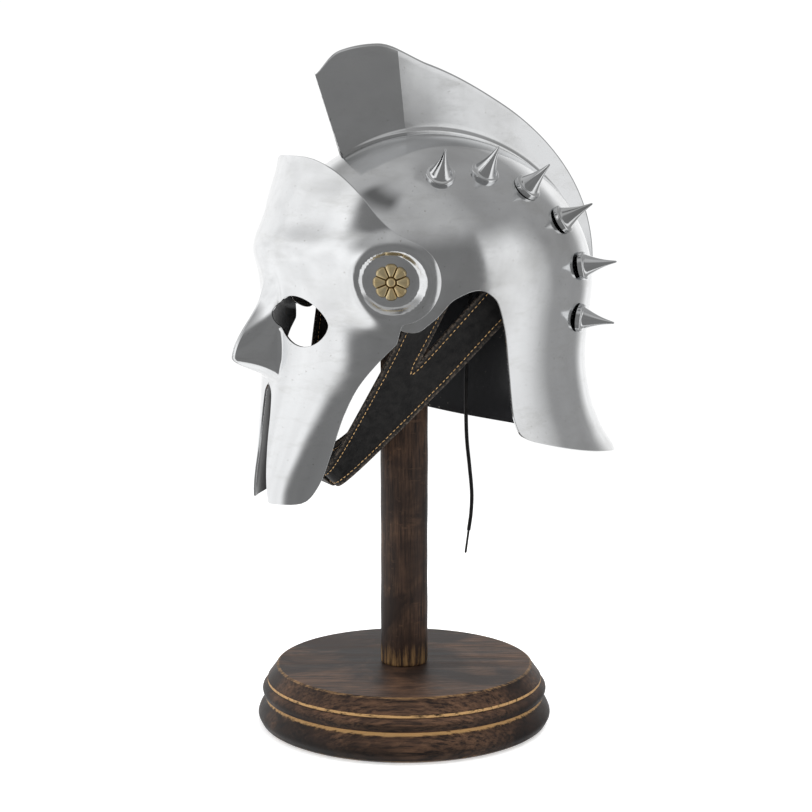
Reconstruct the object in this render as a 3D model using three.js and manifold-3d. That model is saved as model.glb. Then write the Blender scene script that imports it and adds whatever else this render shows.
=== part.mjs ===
// Crested steel gladiator helmet with a face guard, leather chin straps and a turned wooden stand.
// Millimetres, +Z up. The helmet faces -Y and its wearer's left is +X. The origin is the centre
// of the stand's foot, on the surface that it stands on.

import * as THREE from "three";
import { mergeVertices } from "three/addons/utils/BufferGeometryUtils.js";
import Module from "manifold-3d";

const wasm = await Module();
wasm.setup();

// Clearances
const seatGap = 0.3; // between pieces that lie on each other
const guardGap = 0.8; // between the skull and the face guard that laps over it

// Stand
const baseDiameter = 200;
const baseTopDiameter = 172;
const baseHeight = 41;
const postDiameter = 32;
const postLength = 318; // shown length between base and rest
const spigotDiameter = 16;
const spigotLength = 18;
const restDiameter = 66;
const restHeight = 34;
const restNeckDiameter = 44;

// Skull
const skullHalfWidth = 98;
const skullFront = 108;
const skullBack = 118;
const domeHeight = 100; // crown above the widest level
const napeDepth = 119; // widest level down to the neck guard's edge
const steelWall = 1.6;
const skullSetback = 14; // skull's centre behind the post's axis

// Face guard
const guardTopRise = 86; // diadem's top above the skull's widest level
const guardDepth = 137; // cheek tips below it
const guardFront = 111; // brow ahead of the skull's centre
const browRise = 26; // brow line above the widest level
const browDip = 10; // how far the brow line falls from the front to the side
const browBand = 15; // half height of the brow's swelling
const browSpread = 52; // degrees that it reaches to each side
const browBulge = 6;
const noseBulge = 27;
const noseHalfWidth = 15;
const noseTipDrop = 43;
const mouthHalfWidth = 8;
const mouthTopDrop = 60;
const eyeCentre = 33;
const eyeHalfWidth = 22;
const eyeHalfHeight = 17;
const eyeDrop = 16;
const eyeSlant = 0.12; // fall of its outer corner, as a share of the way out
const lobeRadius = 27;
const lobeBulge = 5;
const lobeFade = 10; // how fast the lobe's swelling dies away
const dishRadius = 18;
const dishRim = 3; // half width of the dish's rounded rim

// Crest
const crestHeight = 64; // above the skull at its tallest place
const crestRootWidth = 15;
const crestTopWidth = 7;
const crestWall = 1.4;
const crestFrontAngle = -33; // degrees from the crown, towards the brow
const crestBackDrop = 44; // its lower end on the nape, below the widest level
const crestLean = 19; // front edge's forward lean at its top
const crestCrease = 0.17; // share of its length that narrows like a wedge to its front edge
const crestEdgeShare = 0.16; // share of its width left at that edge

// Brass rosettes and steel studs
const rosetteRadius = 11.5;
const rosetteThickness = 3;
const rosetteAzimuth = 56; // degrees from the front
const rosetteRise = 10;
const petalCount = 8;
const shankDiameter = 5;
const studHeight = 23;
const studRadius = 7.5;
const collarRadius = 9.5;
const collarHeight = 2;
const studsPerSide = 6;
const studRowSpread = 40; // degrees out from the crest
const studFirstAngle = -14; // degrees from the crown
const studLastAngle = 104;

// Leather
const linerThickness = 2;
const linerGap = 1.5; // the liner stands off the steel a little
const linerTongues = 8;
const linerSlotWidth = 12;
const linerCrownRadius = 26; // whole leather left round the crown
const linerEdgeRise = 18; // liner's lower edge above the widest level
const strapThickness = 2.4;
const strapInset = 1; // between the liner and the straps inside it
const chinDrop = 122; // chin sleeve below the widest level
const chinForward = 74; // chin sleeve ahead of the skull's centre
const chinStrapWidth = 15;
const sleeveLength = 20;
const sleeveWall = 1.6;
const sleeveGap = 0.4;
const tailLength = 52;

// Lace of the liner
const laceDiameter = 2.6;
const laceTipDiameter = 1.6;
const laceTipLength = 16;

const degrees = Math.PI / 180;

// Monotone cubic curve through the rows of a table, from one named column to another.
function curveThrough(rows, from, to) {
  const n = rows.length;
  const step = rows.slice(1).map((row, i) => row[from] - rows[i][from]);
  const rise = rows.slice(1).map((row, i) => (row[to] - rows[i][to]) / step[i]);
  const slope = rows.map((row, i) => {
    if (i === 0 || i === n - 1) return 0;
    if (rise[i - 1] * rise[i] <= 0) return 0;
    return (2 * rise[i - 1] * rise[i]) / (rise[i - 1] + rise[i]);
  });
  return (at) => {
    const x = THREE.MathUtils.clamp(at, rows[0][from], rows[n - 1][from]);
    let i = 0;
    while (i < n - 2 && x > rows[i + 1][from]) i += 1;
    const t = (x - rows[i][from]) / step[i];
    const a = rows[i][to];
    const b = rows[i + 1][to];
    const ease = t * t * (3 - 2 * t);
    const lift = t * (1 - t) * (1 - t) * slope[i] - t * t * (1 - t) * slope[i + 1];
    return a + (b - a) * ease + lift * step[i];
  };
}

const bell = (distance, width) => Math.exp(-((distance / width) ** 2));

// A BufferGeometry as a manifold solid, and back.
function solidOf(geometry) {
  const bare = geometry.index ? geometry.toNonIndexed() : geometry.clone();
  bare.deleteAttribute("normal");
  bare.deleteAttribute("uv");
  const merged = mergeVertices(bare, 1e-3);
  return new wasm.Manifold(
    new wasm.Mesh({
      numProp: 3,
      vertProperties: merged.attributes.position.array,
      triVerts: new Uint32Array(merged.index.array),
    }),
  );
}

function geometryOf(solid) {
  const mesh = solid.getMesh();
  const positions = new Float32Array(mesh.numVert * 3);
  for (let i = 0; i < mesh.numVert; i += 1) {
    const start = i * mesh.numProp;
    positions.set(mesh.vertProperties.subarray(start, start + 3), i * 3);
  }
  const geometry = new THREE.BufferGeometry();
  geometry.setAttribute("position", new THREE.BufferAttribute(positions, 3));
  geometry.setIndex(new THREE.BufferAttribute(mesh.triVerts, 1));
  geometry.computeVertexNormals();
  return geometry;
}

function geometryFrom(points, faces) {
  const geometry = new THREE.BufferGeometry();
  const numbers = points.flatMap((p) => [p.x, p.y, p.z]);
  geometry.setAttribute("position", new THREE.Float32BufferAttribute(numbers, 3));
  geometry.setIndex(faces.flat());
  geometry.computeVertexNormals();
  return geometry;
}

// Closed wall between two grids of points with the same rows and columns. The first grid is the
// face that its normals leave, with rows running down and columns running to the left of it.
// A ring closes its columns on themselves, and pole gives both faces one point above row 0.
function wallBetween(front, back, { ring = false, pole = null } = {}) {
  const rows = front.length;
  const columns = front[0].length;
  const points = [...front.flat(), ...back.flat()];
  const count = rows * columns;
  const at = (face, i, j) => face * count + i * columns + (j % columns);
  const faces = [];
  const quad = (a, b, c, d) => faces.push([a, b, c], [a, c, d]);
  const last = ring ? columns : columns - 1;
  for (let j = 0; j < last; j += 1) {
    for (let i = 0; i < rows - 1; i += 1) {
      quad(at(0, i, j), at(0, i + 1, j), at(0, i + 1, j + 1), at(0, i, j + 1));
      quad(at(1, i, j), at(1, i, j + 1), at(1, i + 1, j + 1), at(1, i + 1, j));
    }
    quad(at(0, rows - 1, j), at(1, rows - 1, j), at(1, rows - 1, j + 1), at(0, rows - 1, j + 1));
    if (!pole) quad(at(0, 0, j), at(0, 0, j + 1), at(1, 0, j + 1), at(1, 0, j));
  }
  if (!ring) {
    for (let i = 0; i < rows - 1; i += 1) {
      quad(at(0, i, 0), at(1, i, 0), at(1, i + 1, 0), at(0, i + 1, 0));
      const j = columns - 1;
      quad(at(0, i, j), at(0, i + 1, j), at(1, i + 1, j), at(1, i, j));
    }
  }
  if (pole) {
    points.push(pole.front, pole.back);
    for (let j = 0; j < last; j += 1) {
      faces.push([2 * count, at(0, 0, j), at(0, 0, j + 1)]);
      faces.push([2 * count + 1, at(1, 0, j + 1), at(1, 0, j)]);
    }
  }
  return geometryFrom(points, faces);
}

// Prism of a plane outline, given as [across, up] points, that runs along X or along Y.
function prism(outline, axis, from, to) {
  const shape = new THREE.Shape(outline.map(([a, b]) => new THREE.Vector2(a, b)));
  const body = new THREE.ExtrudeGeometry(shape, { depth: to - from, bevelEnabled: false });
  body.translate(0, 0, from);
  const turn = new THREE.Matrix4();
  if (axis === "x") turn.set(0, 0, 1, 0, 1, 0, 0, 0, 0, 1, 0, 0, 0, 0, 0, 1);
  else turn.set(1, 0, 0, 0, 0, 0, -1, 0, 0, 1, 0, 0, 0, 0, 0, 1);
  return solidOf(body.applyMatrix4(turn));
}

function pin(diameter, from, to) {
  const length = from.distanceTo(to);
  const body = new THREE.CylinderGeometry(diameter / 2, diameter / 2, length, 12);
  const way = to.clone().sub(from).normalize();
  const turn = new THREE.Quaternion().setFromUnitVectors(new THREE.Vector3(0, 1, 0), way);
  body.applyQuaternion(turn);
  const middle = from.clone().add(to).multiplyScalar(0.5);
  return solidOf(body.translate(middle.x, middle.y, middle.z));
}

// Skull. Its level is an angle from the crown down to 90 degrees at the widest level, and below
// that a share of the nape's depth. Shares scale the widest section, apart at side and back.
const napeSections = [
  { level: 0, side: 1, back: 1 },
  { level: 0.22, side: 0.99, back: 0.975 },
  { level: 0.42, side: 0.978, back: 0.962 },
  { level: 0.62, side: 0.975, back: 0.99 },
  { level: 0.82, side: 0.985, back: 1.065 },
  { level: 1, side: 1.01, back: 1.165 },
];
const napeSide = curveThrough(napeSections, "level", "side");
const napeBack = curveThrough(napeSections, "level", "back");

// Rim of the skull: brow, temple, ear arch and neck guard.
const rimSections = [
  { azimuth: 0, rise: 32 },
  { azimuth: 28, rise: 28 },
  { azimuth: 44, rise: 14 },
  { azimuth: 56, rise: -17 },
  { azimuth: 64, rise: -22 },
  { azimuth: 71, rise: -14 },
  { azimuth: 78, rise: -1 },
  { azimuth: 86, rise: 4 },
  { azimuth: 92, rise: -2 },
  { azimuth: 96, rise: -22 },
  { azimuth: 98.5, rise: -52 },
  { azimuth: 100, rise: -80 },
  { azimuth: 102.5, rise: -91 },
  { azimuth: 110, rise: -97 },
  { azimuth: 140, rise: -110 },
  { azimuth: 180, rise: -napeDepth },
];
const rimCurve = curveThrough(rimSections, "azimuth", "rise");
const rimRise = (azimuth) => rimCurve(Math.abs(((azimuth + 180) % 360) - 180));

// Point at an azimuth in degrees from the front and a rise above the widest level.
function skullPoint(azimuth, rise, inset = 0) {
  const side = Math.sin(azimuth * degrees);
  const ahead = Math.cos(azimuth * degrees);
  let share;
  if (rise >= 0) {
    const up = Math.min(rise / (domeHeight - inset), 1);
    share = Math.sqrt(1 - up * up);
  } else {
    const level = -rise / napeDepth;
    const towardsBack = ((1 - ahead) / 2) ** 2;
    share = THREE.MathUtils.lerp(napeSide(level), napeBack(level), towardsBack);
  }
  const reach = (skullFront + skullBack) / 2 - ((skullBack - skullFront) / 2) * ahead;
  const x = (skullHalfWidth * share - (rise < 0 ? inset : inset * share)) * side;
  const y = -(reach * share - (rise < 0 ? inset : inset * share)) * ahead;
  return new THREE.Vector3(x, y, rise);
}

// Azimuths spaced evenly along a rim, so that its steep edges get points too.
function azimuthsAlong(rim, count) {
  const fine = [];
  for (let a = 0; a <= 180; a += 0.25) fine.push(a);
  const reach = [0];
  for (let i = 1; i < fine.length; i += 1) {
    const step = skullPoint(fine[i], rim(fine[i])).distanceTo(
      skullPoint(fine[i - 1], rim(fine[i - 1])),
    );
    reach.push(reach[i - 1] + step);
  }
  const half = [];
  for (let k = 0; k <= count; k += 1) {
    const wanted = (reach[reach.length - 1] * k) / count;
    let i = 1;
    while (i < reach.length - 1 && reach[i] < wanted) i += 1;
    const t = (wanted - reach[i - 1]) / (reach[i] - reach[i - 1]);
    half.push(fine[i - 1] + t * (fine[i] - fine[i - 1]));
  }
  return [...half, ...half.slice(1, -1).reverse().map((a) => 360 - a)];
}

// Shell that follows the skull from its crown to a rim, between two insets from the outer face.
function skullShell(rim, outerInset, innerInset, halfColumns, rows) {
  const azimuths = azimuthsAlong(rim, halfColumns);
  const grid = (inset) =>
    Array.from({ length: rows }, (_, i) =>
      azimuths.map((azimuth) => {
        const top = domeHeight - inset;
        const rimAngle = Math.acos(THREE.MathUtils.clamp(rim(azimuth) / top, -1, 1));
        const share = (i + 1) / rows;
        const below = Math.max(0, -rim(azimuth));
        const total = (Math.min(rimAngle, 90 * degrees) * top) + below;
        const along = share * total;
        const quarter = 90 * degrees * top;
        const rise = along <= quarter ? top * Math.cos(along / top) : quarter - along;
        return skullPoint(azimuth, rise, inset);
      }),
    );
  const pole = {
    front: new THREE.Vector3(0, 0, domeHeight - outerInset),
    back: new THREE.Vector3(0, 0, domeHeight - innerInset),
  };
  return wallBetween(grid(outerInset), grid(innerInset), { ring: true, pole });
}

// Outward direction of the face that a point function makes.
function outward(point, azimuth, rise) {
  const small = 0.5;
  const around = point(azimuth + small, rise).sub(point(azimuth - small, rise));
  const up = point(azimuth, rise + small).sub(point(azimuth, rise - small));
  const normal = around.cross(up).normalize();
  return normal.dot(point(azimuth, rise)) < 0 ? normal.negate() : normal;
}

// Face guard: sections by rise, as shares of the guard's front reach and of its width at the
// temples.
const guardHalfWidth = skullHalfWidth + guardGap + steelWall + 1;
const guardSections = [
  { share: 0, front: 1.09, side: 0.56 },
  { share: 0.16, front: 1.05, side: 0.67 },
  { share: 0.32, front: 1.01, side: 0.84 },
  { share: 0.46, front: 0.985, side: 0.99 },
  { share: 0.6, front: 0.99, side: 1 },
  { share: 0.74, front: 0.985, side: 1 },
  { share: 0.86, front: 0.94, side: 1 },
  { share: 1, front: 0.86, side: 1 },
];
const guardFrontShare = curveThrough(guardSections, "share", "front");
const guardSideShare = curveThrough(guardSections, "share", "side");
const noseSections = [
  { drop: -0.45, push: 0 },
  { drop: 0.1, push: 0.25 },
  { drop: 1, push: 1 },
  { drop: 1.38, push: 0 },
];
const nosePush = curveThrough(noseSections, "drop", "push");

function guardPoint(azimuth, rise, inset = 0) {
  const side = Math.sin(azimuth * degrees);
  const ahead = Math.cos(azimuth * degrees);
  const share = (rise + guardDepth) / (guardTopRise + guardDepth);
  const halfWidth = guardHalfWidth * guardSideShare(share) - inset;
  const front = guardFront * guardFrontShare(share) - inset;
  const point = new THREE.Vector3(halfWidth * side, -front * ahead, rise);
  const brow = browRise - browDip * (1 - ahead);
  const browPush = browBulge * bell(rise - brow, browBand) * bell(azimuth, browSpread);
  const ridge = Math.max(0, 1 - Math.abs(point.x) / noseHalfWidth);
  const push = browPush + noseBulge * nosePush(-rise / noseTipDrop) * ridge ** 0.8;
  const lobe = new THREE.Vector2(
    (Math.abs(azimuth) - rosetteAzimuth) * degrees * guardHalfWidth,
    rise - rosetteRise,
  ).length();
  const dish = THREE.MathUtils.smoothstep(lobe, dishRadius - dishRim, dishRadius + dishRim);
  const swell = lobeBulge * dish * bell(lobe - dishRadius - dishRim, lobeFade);
  point.x += (push * 0.2 + swell) * side;
  point.y -= (push + swell * 0.6) * Math.max(ahead, 0);
  return point;
}

// Side outline of the face guard: shares of the guard's front reach behind and of its rises.
const guardOutline = [
  { ahead: 1.3, rise: 1 },
  { ahead: 0.87, rise: 1 },
  { ahead: 0.83, rise: 0.985 },
  { ahead: 0.765, rise: 0.9 },
  { ahead: 0.69, rise: 0.75 },
  { ahead: 0.61, rise: 0.57 },
  { ahead: 0.54, rise: 0.46 },
];
const cheekOutline = [
  { ahead: 0.53, drop: 0.21 },
  { ahead: 0.6, drop: 0.28 },
  { ahead: 0.68, drop: 0.4 },
  { ahead: 0.74, drop: 0.56 },
  { ahead: 0.78, drop: 0.74 },
  { ahead: 0.83, drop: 0.9 },
  { ahead: 0.89, drop: 0.98 },
  { ahead: 0.95, drop: 1 },
  { ahead: 1.3, drop: 1 },
];

function guardSideOutline() {
  const centre = guardPoint(rosetteAzimuth, rosetteRise);
  const upper = guardOutline.map((row) => [-guardFront * row.ahead, guardTopRise * row.rise]);
  const lower = cheekOutline.map((row) => [-guardFront * row.ahead, -guardDepth * row.drop]);
  const lobe = [];
  for (let turn = 62; turn >= -80; turn -= 142 / 12) {
    lobe.push([
      centre.y + lobeRadius * Math.cos(turn * degrees),
      centre.z + lobeRadius * Math.sin(turn * degrees),
    ]);
  }
  return [...upper, ...lobe, ...lower].reverse();
}

// Almond eye opening in the front view, as a lens whose outer corner turns down a little.
function eyeOutline(side) {
  const points = [];
  const count = 20;
  for (let k = 0; k < count; k += 1) {
    const turn = (k / count) * 2 * Math.PI;
    const across = eyeHalfWidth * Math.cos(turn);
    const lens = Math.sign(Math.sin(turn)) * Math.abs(Math.sin(turn)) ** 1.25;
    const up = eyeHalfHeight * lens * (lens > 0 ? 0.85 : 1.05) - across * eyeSlant;
    points.push([side * (eyeCentre + across), up - eyeDrop]);
  }
  return side > 0 ? points : points.reverse();
}

// Mouth slot in the front view: a pointed top, nearly even sides, and a flare at the cheek tips.
function mouthOutline() {
  const bottom = -guardDepth - 10; // past the cheek tips
  const flare = mouthHalfWidth * 1.9;
  const waist = -guardDepth * 0.75;
  const shoulder = mouthHalfWidth * 0.9;
  const shoulderDrop = -mouthTopDrop - mouthHalfWidth;
  return [
    [-flare, bottom],
    [flare, bottom],
    [mouthHalfWidth, waist],
    [shoulder, shoulderDrop],
    [0, -mouthTopDrop],
    [-shoulder, shoulderDrop],
    [-mouthHalfWidth, waist],
  ];
}

// Places that rosettes and studs take their seats from.
function rosetteSeat(side) {
  const seat = guardPoint(rosetteAzimuth, rosetteRise);
  const out = outward(guardPoint, rosetteAzimuth, rosetteRise);
  return {
    seat: new THREE.Vector3(seat.x * side, seat.y, seat.z),
    out: new THREE.Vector3(out.x * side, out.y, out.z),
  };
}

const shankReach = 10; // behind the seat
function rosetteHole(side, clearance) {
  const { seat, out } = rosetteSeat(side);
  const inner = seat.clone().addScaledVector(out, -shankReach - 4);
  const outer = seat.clone().addScaledVector(out, 8);
  return pin(shankDiameter + 2 * clearance, inner, outer);
}

function makeSkull() {
  let solid = solidOf(skullShell(rimRise, 0, steelWall, 24, 11));
  for (const side of [1, -1]) solid = solid.subtract(rosetteHole(side, seatGap));
  return geometryOf(solid);
}

function makeFaceGuard() {
  const columns = 35;
  const rows = 20;
  const spread = 84;
  const grid = (inset) =>
    Array.from({ length: rows }, (_, i) =>
      Array.from({ length: columns }, (_, j) => {
        const even = (2 * j) / (columns - 1) - 1;
        const azimuth = spread * (0.88 * even + 0.12 * even ** 3);
        const rise = guardTopRise + 2 - (i / (rows - 1)) * (guardTopRise + guardDepth + 4);
        return guardPoint(azimuth, rise, inset);
      }),
    );
  const wide = 2 * guardHalfWidth;
  let solid = solidOf(wallBetween(grid(0), grid(steelWall)));
  solid = solid.intersect(prism(guardSideOutline(), "x", -wide, wide));
  for (const side of [1, -1]) {
    solid = solid.subtract(prism(eyeOutline(side), "y", 0, wide));
    solid = solid.subtract(rosetteHole(side, seatGap));
  }
  return geometryOf(solid.subtract(prism(mouthOutline(), "y", 0, wide)));
}

// Crest: a hollow fin over the skull's middle line, open along its foot.
const crestRows = [
  { along: 0, height: 0.88 },
  { along: 0.06, height: 0.99 },
  { along: 0.13, height: 0.95 },
  { along: 0.23, height: 0.7 },
  { along: 0.38, height: 0.46 },
  { along: 0.6, height: 0.3 },
  { along: 1, height: 0.13 },
];
const crestShare = curveThrough(crestRows, "along", "height");

// Foot of the crest at a share of its length, and the way that it stands up from there. It runs
// over the dome to the widest level and from there down the nape.
function crestLine(along) {
  const domeLength = (90 - crestFrontAngle) * degrees * domeHeight;
  const length = along * (domeLength + crestBackDrop);
  const angle = crestFrontAngle * degrees + length / domeHeight;
  const reach = angle < 0 ? skullFront : skullBack;
  let foot = new THREE.Vector3(0, reach * Math.sin(angle), domeHeight * Math.cos(angle));
  let out = new THREE.Vector3(0, Math.sin(angle) / reach, Math.cos(angle) / domeHeight);
  if (length > domeLength) {
    foot = skullPoint(180, domeLength - length);
    out = outward(skullPoint, 180, domeLength - length);
  }
  out.normalize();
  const front = (1 - THREE.MathUtils.smoothstep(along, 0, 0.17)) * crestLean * degrees;
  const tilt = new THREE.Vector3(0, -Math.sin(front), Math.cos(front));
  const way = out.clone().lerp(tilt, 1 - THREE.MathUtils.smoothstep(along, 0, 0.27)).normalize();
  return { foot: foot.addScaledVector(out, seatGap), way };
}

function crestBody(from, to, trim, narrow, sink) {
  const stations = 20;
  const edge = 0.14; // share of the fin's height taken by its rounded top
  const root = 0.16; // share of it taken by the broader root
  const rootTop = THREE.MathUtils.lerp(crestRootWidth, crestTopWidth, 0.7);
  const sections = Array.from({ length: stations }, (_, k) => {
    const along = from + ((to - from) * k) / (stations - 1);
    const { foot, way } = crestLine(along);
    const height = crestHeight * crestShare(along) - trim;
    const wedge = THREE.MathUtils.lerp(crestEdgeShare, 1, Math.min(along / crestCrease, 1));
    const levels = [
      { up: -sink / height, half: (wedge * crestRootWidth) / 2 - narrow },
      { up: root, half: (wedge * rootTop) / 2 - narrow },
      { up: 1 - edge, half: (wedge * crestTopWidth) / 2 - narrow },
      { up: 1 - edge * 0.3, half: wedge * crestTopWidth * 0.4 - narrow },
      { up: 1, half: wedge * crestTopWidth * 0.2 },
    ];
    const side = (sign) =>
      levels.map(({ up, half }) =>
        foot.clone().addScaledVector(way, up * height).setX(sign * Math.max(half, 0.4)),
      );
    return [...side(1), ...side(-1).reverse()];
  });
  const count = sections[0].length;
  const points = sections.flat();
  const faces = [];
  for (let k = 0; k < stations - 1; k += 1) {
    for (let i = 0; i < count; i += 1) {
      const a = k * count + i;
      const b = k * count + ((i + 1) % count);
      faces.push([a, a + count, b + count], [a, b + count, b]);
    }
  }
  for (let i = 0; i < count / 2 - 1; i += 1) {
    const pair = [i, i + 1, count - 2 - i, count - 1 - i];
    const end = (stations - 1) * count;
    faces.push([pair[0], pair[1], pair[2]], [pair[0], pair[2], pair[3]]);
    faces.push([end + pair[0], end + pair[2], end + pair[1]]);
    faces.push([end + pair[0], end + pair[3], end + pair[2]]);
  }
  return solidOf(geometryFrom(points, faces));
}

function makeCrest() {
  const frontWall = 0.07; // shares of the crest's length left whole at its two ends
  const endWall = 0.012;
  const outer = crestBody(0, 1, 0, 0, 0);
  const hollow = crestBody(frontWall, 1 - endWall, crestWall, crestWall, 2);
  return geometryOf(outer.subtract(hollow));
}

// Seat of a disc, raised along its axis to lie on the highest facet of the shell below it.
function raisedOn(geometry, seat, out, radius) {
  const shell = new THREE.Mesh(geometry, new THREE.MeshBasicMaterial({ side: THREE.DoubleSide }));
  const turn = new THREE.Quaternion().setFromUnitVectors(new THREE.Vector3(0, 0, 1), out);
  const away = 2 * radius;
  const around = 16;
  const rings = 4;
  const raised = Array.from({ length: around * rings + 1 }, (_, k) => {
    const reach = (radius * Math.ceil(k / around)) / rings;
    const angle = (k / around) * 2 * Math.PI;
    const spot = new THREE.Vector3(reach * Math.cos(angle), reach * Math.sin(angle), away);
    const from = spot.applyQuaternion(turn).add(seat);
    const [hit] = new THREE.Raycaster(from, out.clone().negate()).intersectObject(shell);
    return hit ? away - hit.distance : -Infinity;
  });
  return seat.clone().addScaledVector(out, Math.max(...raised));
}

// Rosette: petals as a polar height field on a flat back, with a shank through both plates.
function makeRosette() {
  const around = petalCount * 3;
  const rings = [0.2, 0.32, 0.55, 0.85, 1];
  const points = [new THREE.Vector3(0, 0, rosetteThickness * 1.15)];
  const petal = (turn) => Math.abs(Math.cos((turn * petalCount) / 2));
  for (const ring of rings) {
    for (let k = 0; k < around; k += 1) {
      const turn = (k / around) * 2 * Math.PI;
      const crown = petal(turn) ** 0.5;
      const radius = rosetteRadius * ring * (1 - 0.12 * (1 - crown) * ring);
      let height = rosetteThickness * (0.55 + 0.35 * crown * Math.sin(ring * Math.PI * 0.8));
      if (ring === rings[0]) height = rosetteThickness * 1.05;
      if (ring === rings[1]) height = rosetteThickness * 0.6;
      if (ring === 1) height = rosetteThickness * 0.45;
      points.push(new THREE.Vector3(radius * Math.cos(turn), radius * Math.sin(turn), height));
    }
  }
  const edge = 1 + (rings.length - 1) * around;
  for (let k = 0; k < around; k += 1) points.push(points[edge + k].clone().setZ(seatGap));
  const back = points.length;
  points.push(new THREE.Vector3(0, 0, seatGap));
  const faces = [];
  for (let k = 0; k < around; k += 1) {
    const next = (k + 1) % around;
    faces.push([0, 1 + k, 1 + next]);
    for (let r = 0; r < rings.length; r += 1) {
      const a = 1 + r * around;
      faces.push([a + k, a + around + k, a + around + next], [a + k, a + around + next, a + next]);
    }
    faces.push([back, back - around + next, back - around + k]);
  }
  const shank = pin(
    shankDiameter,
    new THREE.Vector3(0, 0, -shankReach),
    new THREE.Vector3(0, 0, rosetteThickness / 2),
  );
  return geometryOf(solidOf(geometryFrom(points, faces)).add(shank));
}

function makeStud() {
  const profile = [
    [0, seatGap],
    [collarRadius, seatGap],
    [collarRadius, seatGap + collarHeight * 0.6],
    [collarRadius * 0.88, seatGap + collarHeight],
    [studRadius, seatGap + collarHeight],
    [studRadius * 0.62, studHeight * 0.5],
    [0.5, studHeight - 0.3],
    [0, studHeight],
  ].map(([r, z]) => new THREE.Vector2(r, z));
  return new THREE.LatheGeometry(profile, 10).rotateX(90 * degrees);
}

// Seats of one row of studs, evenly spaced over the skull beside the crest.
function studSeats(skull) {
  const step = (studLastAngle - studFirstAngle) / (studsPerSide - 1);
  const spread = studRowSpread * degrees;
  return Array.from({ length: studsPerSide }, (_, k) => {
    const angle = (studFirstAngle + k * step) * degrees;
    const way = new THREE.Vector3(
      Math.sin(spread),
      Math.sin(angle) * Math.cos(spread),
      Math.cos(angle) * Math.cos(spread),
    );
    let low = 0;
    let high = 2 * skullBack;
    for (let n = 0; n < 40; n += 1) {
      const middle = (low + high) / 2;
      const p = way.clone().multiplyScalar(middle);
      const azimuth = Math.atan2(p.x, -p.y) / degrees;
      const outside = p.z > domeHeight
        || Math.hypot(p.x, p.y) > skullPoint(azimuth, p.z).setZ(0).length();
      if (outside) high = middle;
      else low = middle;
    }
    const seat = way.clone().multiplyScalar(low);
    const azimuth = Math.atan2(seat.x, -seat.y) / degrees;
    const out = outward(skullPoint, azimuth, seat.z);
    return { seat: raisedOn(skull, seat, out, collarRadius), out };
  });
}

// Leather liner: a cap inside the skull, cut into tongues that meet at the crown.
const linerRimRise = (azimuth) => Math.max(linerEdgeRise, rimRise(azimuth) + 6);

function makeLiner() {
  const outerInset = steelWall + linerGap;
  const innerInset = outerInset + linerThickness;
  let solid = solidOf(skullShell(linerRimRise, outerInset, innerInset, 18, 7));
  const slotLow = domeHeight * 0.62;
  for (let k = 0; k < linerTongues / 2; k += 1) {
    const turn = ((k + 0.5) * 360) / linerTongues;
    for (const away of [1, -1]) {
      const slot = new THREE.BoxGeometry(linerSlotWidth, skullBack, domeHeight);
      slot.translate(0, away * (skullBack / 2 + linerCrownRadius), slotLow + domeHeight / 2);
      solid = solid.subtract(solidOf(slot.rotateZ(turn * degrees)));
    }
  }
  return geometryOf(solid);
}

// Chin straps. Their upper edge lies on the liner's inner face behind the ear arch, as two arms
// that meet at a notch, and both edges run down to the sleeve under the chin.
const strapTops = {
  front: { azimuth: 68, rise: 5 },
  notchFront: { azimuth: 86, rise: 25 },
  notchBack: { azimuth: 97, rise: 15 },
  back: { azimuth: 104, rise: -8 },
};
const notchAlong = 0.3;
const notchAcross = 0.42;
const strapPlane = new THREE.Vector3(0, -0.72, 0.69); // direction of a strap's width at the chin

function strapTop(name) {
  const { azimuth, rise } = strapTops[name];
  const linerInner = steelWall + linerGap + linerThickness;
  return skullPoint(azimuth, rise, linerInner + strapInset + strapThickness / 2);
}

function chinPoint(x, across, layer) {
  const centre = new THREE.Vector3(x, -chinForward, -chinDrop + layer);
  return centre.addScaledVector(strapPlane, across * chinStrapWidth);
}

function strapEdges(layer) {
  const turnIn = sleeveLength * 0.95;
  const mouth = sleeveLength * 0.6;
  const end = -sleeveLength * 0.35;
  const route = (top, across, bow) =>
    new THREE.CatmullRomCurve3([
      top,
      top.clone().lerp(chinPoint(turnIn, across, layer), 0.5).add(new THREE.Vector3(bow, 0, 0)),
      chinPoint(turnIn, across, layer),
      chinPoint(mouth, across, layer),
      chinPoint(end, across, layer),
    ]);
  const front = route(strapTop("front"), 0.5, 5);
  const back = route(strapTop("back"), -0.5, 5);
  const middle = (along) =>
    front.getPointAt(along).lerp(back.getPointAt(along), notchAcross);
  const notch = middle(notchAlong);
  const inner = (name) => (along) => {
    if (along >= notchAlong) return middle(along);
    return strapTop(name).lerp(notch, along / notchAlong);
  };
  return { front, back, notchFront: inner("notchFront"), notchBack: inner("notchBack") };
}

function strapPatch(left, right) {
  const rows = 16;
  const columns = 3;
  const centre = Array.from({ length: rows }, (_, i) => {
    const along = i / (rows - 1);
    return Array.from({ length: columns }, (_, j) =>
      left(along).lerp(right(along), j / (columns - 1)),
    );
  });
  const face = (push) =>
    centre.map((row, i) =>
      row.map((p, j) => {
        const above = centre[Math.max(i - 1, 0)][j];
        const below = centre[Math.min(i + 1, rows - 1)][j];
        const across = row[columns - 1].clone().sub(row[0]);
        const out = below.clone().sub(above).cross(across).normalize();
        return p.clone().addScaledVector(out, push);
      }),
    );
  return solidOf(wallBetween(face(strapThickness / 2), face(-strapThickness / 2)));
}

function makeChinStrap(layer) {
  const edges = strapEdges(layer);
  const front = (along) => edges.front.getPointAt(along);
  const back = (along) => edges.back.getPointAt(along);
  return geometryOf(
    strapPatch(front, edges.notchFront).add(strapPatch(edges.notchBack, back)),
  );
}

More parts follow.
